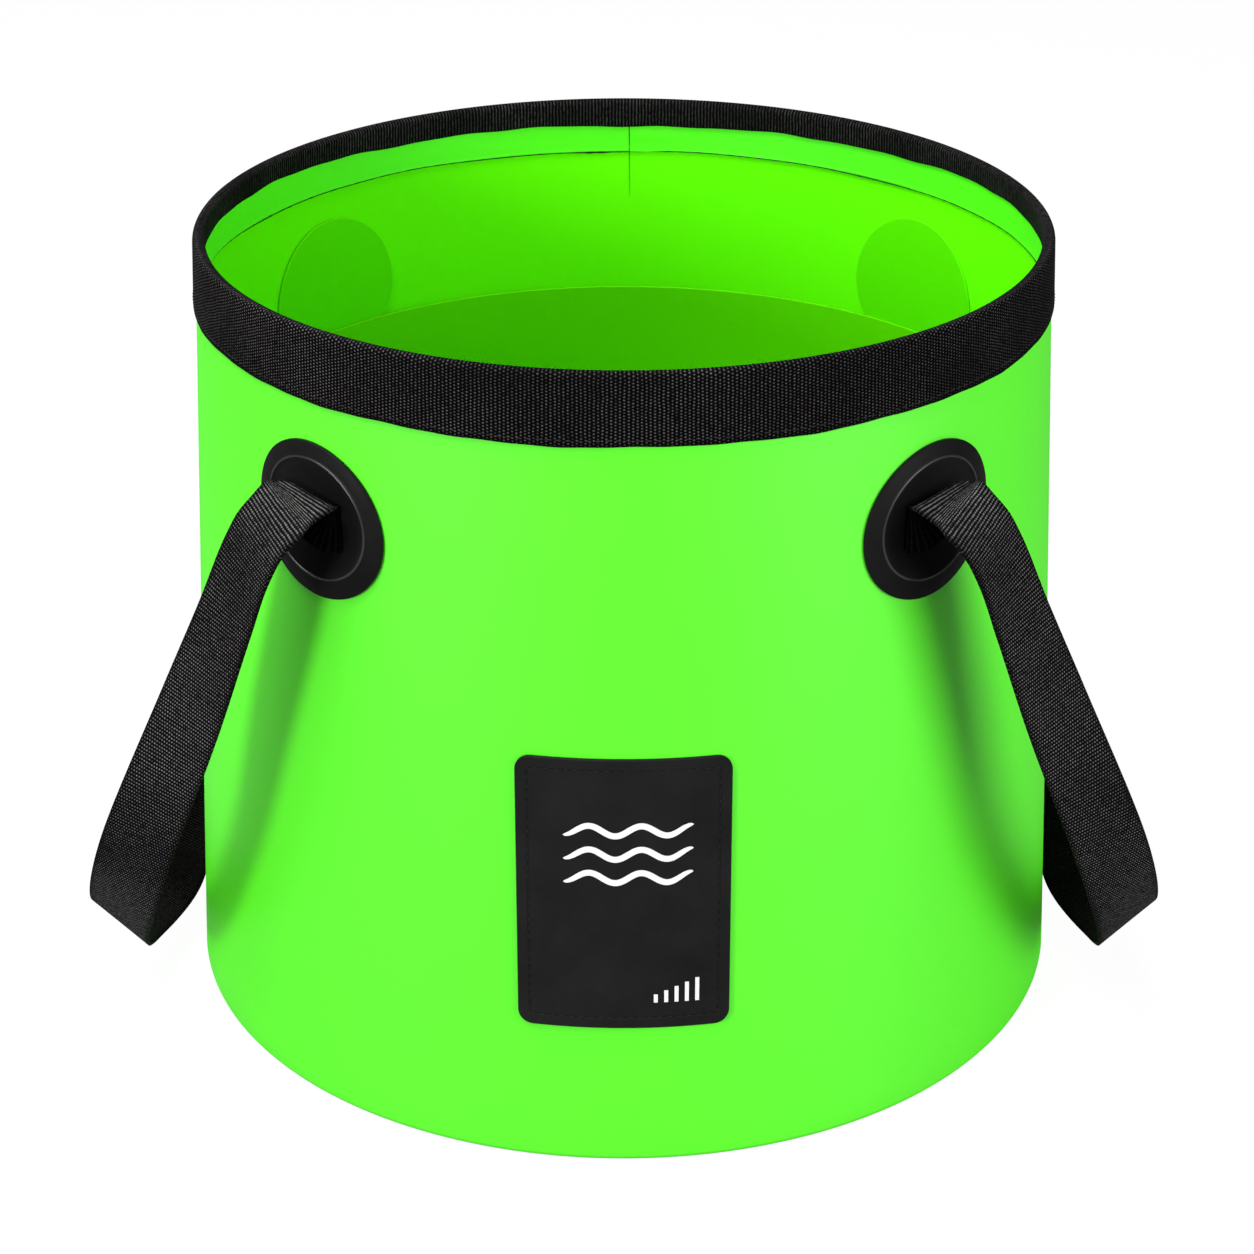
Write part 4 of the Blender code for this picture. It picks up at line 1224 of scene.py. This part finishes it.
class OBJECT_OT_bucket_label(bpy.types.Operator):
    """Build the moulded label sewn on the front, with plain marks"""

    bl_idname = "object.bucket_label"
    bl_label = "Bucket Label"

    def execute(self, context):
        sizes = context.scene.camp_bucket_sizes
        centre = (LABEL_BOX[0].z + LABEL_BOX[1].z) / 2
        self.plate(sizes, centre)
        self.stitches(sizes, centre)
        self.marks(sizes, centre)
        return {"FINISHED"}

    def plate(self, sizes, centre):
        bm = bmesh.new()
        bmesh.ops.create_cube(bm, size=1.0)
        edge = 0.0003
        height = sizes.label_thickness - edge
        bmesh.ops.scale(bm, vec=(sizes.label_width, sizes.label_height, height), verts=bm.verts[:])
        bmesh.ops.translate(bm, vec=(0, 0, height / 2), verts=bm.verts[:])
        corners = [item for item in bm.edges if item.verts[0].co.xy == item.verts[1].co.xy]
        bmesh.ops.bevel(bm, geom=corners, offset=sizes.label_corner, segments=8, profile=0.5,
                        affect="EDGES", material=-1)
        bm.faces.ensure_lookup_table()
        top = max(bm.faces, key=lambda face: face.calc_center_median().z)
        steps = ((edge * 0.4, edge * 0.6), (edge * 0.6, edge * 0.4), (LABEL_BORDER - edge, 0.0),
                 (GROOVE_WIDTH / 4, -GROOVE_DEPTH), (GROOVE_WIDTH / 2, 0.0),
                 (GROOVE_WIDTH / 4, GROOVE_DEPTH * 0.6))
        for inwards, upwards in steps:
            bmesh.ops.inset_region(bm, faces=[top], thickness=inwards, depth=upwards,
                                   use_even_offset=True)
        cut_grid(bm, sizes.label_width / 2, sizes.label_height / 2, 0.004)
        wrap_on_wall(bm, 0.0, centre, CLEARANCE)
        label = finished(bm, "moulded_label", ("label",), sharp=30.0)
        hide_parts("label_patch")
        folds_with_wall(label)

    def stitches(self, sizes, centre):
        inset = LABEL_BORDER + GROOVE_WIDTH / 2
        half_width = sizes.label_width / 2 - inset
        half_height = sizes.label_height / 2 - inset
        corner = max(sizes.label_corner - inset, 0.0008)
        level = sizes.label_thickness - GROOVE_DEPTH + 0.5 * sizes.thread_radius
        path = []
        for quarter, (right, up) in enumerate(((1, 1), (-1, 1), (-1, -1), (1, -1))):
            for step in range(5):
                turn = math.pi / 2 * (quarter + step / 4)
                path.append(Vector((right * (half_width - corner) + corner * math.cos(turn),
                                    up * (half_height - corner) + corner * math.sin(turn), level)))
        bm = stitched(path, LABEL_STITCH_PITCH)
        wrap_on_wall(bm, 0.0, centre, CLEARANCE)
        stitches = finished(bm, "label_stitches", ("black_thread",), sharp=180.0)
        folds_with_wall(stitches)

    def marks(self, sizes, centre):
        level = sizes.label_thickness - GROOVE_DEPTH * 0.4
        bm = bmesh.new()
        across, up = WAVES_CENTRE
        for number in range(WAVE_COUNT):
            row = up + WAVE_PITCH * (number - (WAVE_COUNT - 1) / 2)
            self.wave(bm, across, row)
        for number, height in enumerate(TICK_HEIGHTS):
            left = TICKS_PLACE[0] + TICK_PITCH * number
            self.bar(bm, (left, TICKS_PLACE[1] + height / 2), (TICK_WIDTH, height))
        bmesh.ops.translate(bm, vec=(0, 0, level), verts=bm.verts[:])
        wrap_on_wall(bm, 0.0, centre, CLEARANCE)
        marks = finished(bm, "label_marks", ("ink",), sharp=30.0)
        folds_with_wall(marks)

    def wave(self, bm, across, row):
        # One wavy stroke that thins out towards its ends
        fresh = bmesh.ops.create_grid(bm, x_segments=72, y_segments=2, size=0.5)["verts"]
        faces = list({face for vertex in fresh for face in vertex.link_faces})
        for vertex in fresh:
            share, side = vertex.co.x * 2, vertex.co.y * 2
            thin = math.sqrt(max(0.0, 1 - abs(share) ** 6))
            rise = WAVE_DEPTH * math.sin(share * 2.5 * math.pi)
            lean = WAVE_DEPTH * 2.5 * math.pi * math.cos(share * 2.5 * math.pi) * 2 / WAVE_WIDTH
            normal = Vector((-lean, 1.0)).normalized()
            reach = side * WAVE_STROKE / 2 * thin
            vertex.co = Vector((across + share * WAVE_WIDTH / 2 + normal.x * reach,
                                row + rise + normal.y * reach, 0.0))
        self.thicken_flat(bm, faces)

    def bar(self, bm, place, extent):
        fresh = bmesh.ops.create_grid(bm, x_segments=1, y_segments=4, size=0.5)["verts"]
        faces = list({face for vertex in fresh for face in vertex.link_faces})
        for vertex in fresh:
            vertex.co = Vector((place[0] + vertex.co.x * extent[0],
                                place[1] + vertex.co.y * extent[1], 0.0))
        self.thicken_flat(bm, faces)

    def thicken_flat(self, bm, faces):
        fresh = bmesh.ops.extrude_face_region(bm, geom=faces, use_keep_orig=True)["geom"]
        raised_verts = [item for item in fresh if isinstance(item, bmesh.types.BMVert)]
        bmesh.ops.translate(bm, vec=(0, 0, MARK_THICKNESS), verts=raised_verts)


# Stage

class SCENE_OT_bucket_stage(bpy.types.Operator):
    """Set up the floor, the soft lights and the camera"""

    bl_idname = "scene.bucket_stage"
    bl_label = "Bucket Stage"

    def execute(self, context):
        context.scene.view_settings.view_transform = "Standard"
        self.floor(context)
        self.world(context)
        self.lights(context)
        self.camera(context)
        return {"FINISHED"}

    def floor(self, context):
        bm = bmesh.new()
        bmesh.ops.create_grid(bm, x_segments=1, y_segments=1, size=12.0)
        bmesh.ops.translate(bm, vec=(0, 0, -CLEARANCE), verts=bm.verts[:])
        mesh = bpy.data.meshes.new("studio_floor")
        bm.to_mesh(mesh)
        bm.free()
        finish, tree, shader = new_finish("studio_floor")
        paint = context.scene.camp_bucket_colours.floor
        shader.inputs["Base Color"].default_value = (*paint, 1.0)
        shader.inputs["Roughness"].default_value = 0.9
        shader.inputs["Specular IOR Level"].default_value = 0.0
        # Seen by the camera the floor is white and keeps a soft share of its shadows
        plain = add_node(tree, "ShaderNodeEmission", {"Color": (1, 1, 1, 1), "Strength": 1.22})
        seen = add_node(tree, "ShaderNodeMixShader",
                        {0: 0.22, 1: plain.outputs[0], 2: shader.outputs[0]})
        rays = add_node(tree, "ShaderNodeLightPath")
        both = add_node(tree, "ShaderNodeMixShader", {0: rays.outputs["Is Camera Ray"],
                                                      1: shader.outputs[0], 2: seen.outputs[0]})
        output = tree.nodes["Material Output"]
        tree.links.new(both.outputs[0], output.inputs["Surface"])
        mesh.materials.append(finish)
        floor = bpy.data.objects.new("studio_floor", mesh)
        context.scene.collection.objects.link(floor)

    def world(self, context):
        world = bpy.data.worlds.new("studio_world")
        context.scene.world = world
        world.use_nodes = True
        tree = world.node_tree
        background = tree.nodes["Background"]
        rays = add_node(tree, "ShaderNodeLightPath")
        looked_at = work_out(tree, "MAXIMUM", rays.outputs["Is Camera Ray"],
                             rays.outputs["Is Transmission Ray"])
        strength = ranged(tree, looked_at, 0.18, 1.0)
        background.inputs["Color"].default_value = (1, 1, 1, 1)
        tree.links.new(strength, background.inputs["Strength"])

    def lights(self, context):
        # Soft boxes left, right and above
        boxes = (
            ("left_softbox", (-1.15, -1.20, 0.62), 0.35, 14.0),
            ("right_softbox", (1.35, -1.00, 0.55), 1.0, 20.0),
            ("top_softbox", (-0.46, -0.30, 1.65), 1.1, 37.0),
        )
        for name, place, extent, power in boxes:
            lamp = bpy.data.lights.new(name, "AREA")
            lamp.shape = "SQUARE"
            lamp.size = extent
            lamp.energy = power
            lamp_object = bpy.data.objects.new(name, lamp)
            lamp_object.location = place
            aim = Vector((0.0, 0.0, 0.14)) - Vector(place)
            lamp_object.rotation_euler = aim.to_track_quat("-Z", "Y").to_euler()
            context.scene.collection.objects.link(lamp_object)

    def camera(self, context):
        camera = bpy.data.cameras.new("photo_camera")
        camera.lens = CAMERA_LENS
        camera.sensor_width = 36.0
        camera.clip_start = 0.01
        camera.clip_end = 50.0
        camera_object = bpy.data.objects.new("photo_camera", camera)
        camera_object.location = CAMERA_PLACE
        camera_object.rotation_euler = (CAMERA_TILT, 0.0, 0.0)
        context.scene.collection.objects.link(camera_object)
        context.scene.camera = camera_object


class VIEW3D_PT_camp_bucket(bpy.types.Panel):
    """The bucket's sizes, colours and pieces"""

    bl_label = "Camp Bucket"
    bl_idname = "VIEW3D_PT_camp_bucket"
    bl_space_type = "VIEW_3D"
    bl_region_type = "UI"
    bl_category = "Camp Bucket"

    def draw(self, context):
        for group in (context.scene.camp_bucket_sizes, context.scene.camp_bucket_colours):
            column = self.layout.column(align=True)
            for name in group.__annotations__:
                column.prop(group, name)
        for operator in OPERATORS:
            self.layout.operator(operator.bl_idname)


OPERATORS = (
    OBJECT_OT_bucket_wall,
    OBJECT_OT_bucket_lining,
    OBJECT_OT_bucket_binding,
    OBJECT_OT_bucket_pads,
    OBJECT_OT_bucket_handles,
    OBJECT_OT_bucket_label,
    SCENE_OT_bucket_stage,
)
CLASSES = (CampBucketSizes, CampBucketColours) + OPERATORS + (VIEW3D_PT_camp_bucket,)


def register():
    for entry in CLASSES:
        bpy.utils.register_class(entry)
    bpy.types.Scene.camp_bucket_sizes = bpy.props.PointerProperty(type=CampBucketSizes)
    bpy.types.Scene.camp_bucket_colours = bpy.props.PointerProperty(type=CampBucketColours)


def unregister():
    del bpy.types.Scene.camp_bucket_colours
    del bpy.types.Scene.camp_bucket_sizes
    for entry in reversed(CLASSES):
        bpy.utils.unregister_class(entry)


def main():
    register()
    bpy.ops.object.bucket_wall()
    bpy.ops.object.bucket_lining()
    bpy.ops.object.bucket_binding()
    bpy.ops.object.bucket_pads()
    bpy.ops.object.bucket_handles()
    bpy.ops.object.bucket_label()
    bpy.ops.scene.bucket_stage()


if __name__ == "__main__":
    main()
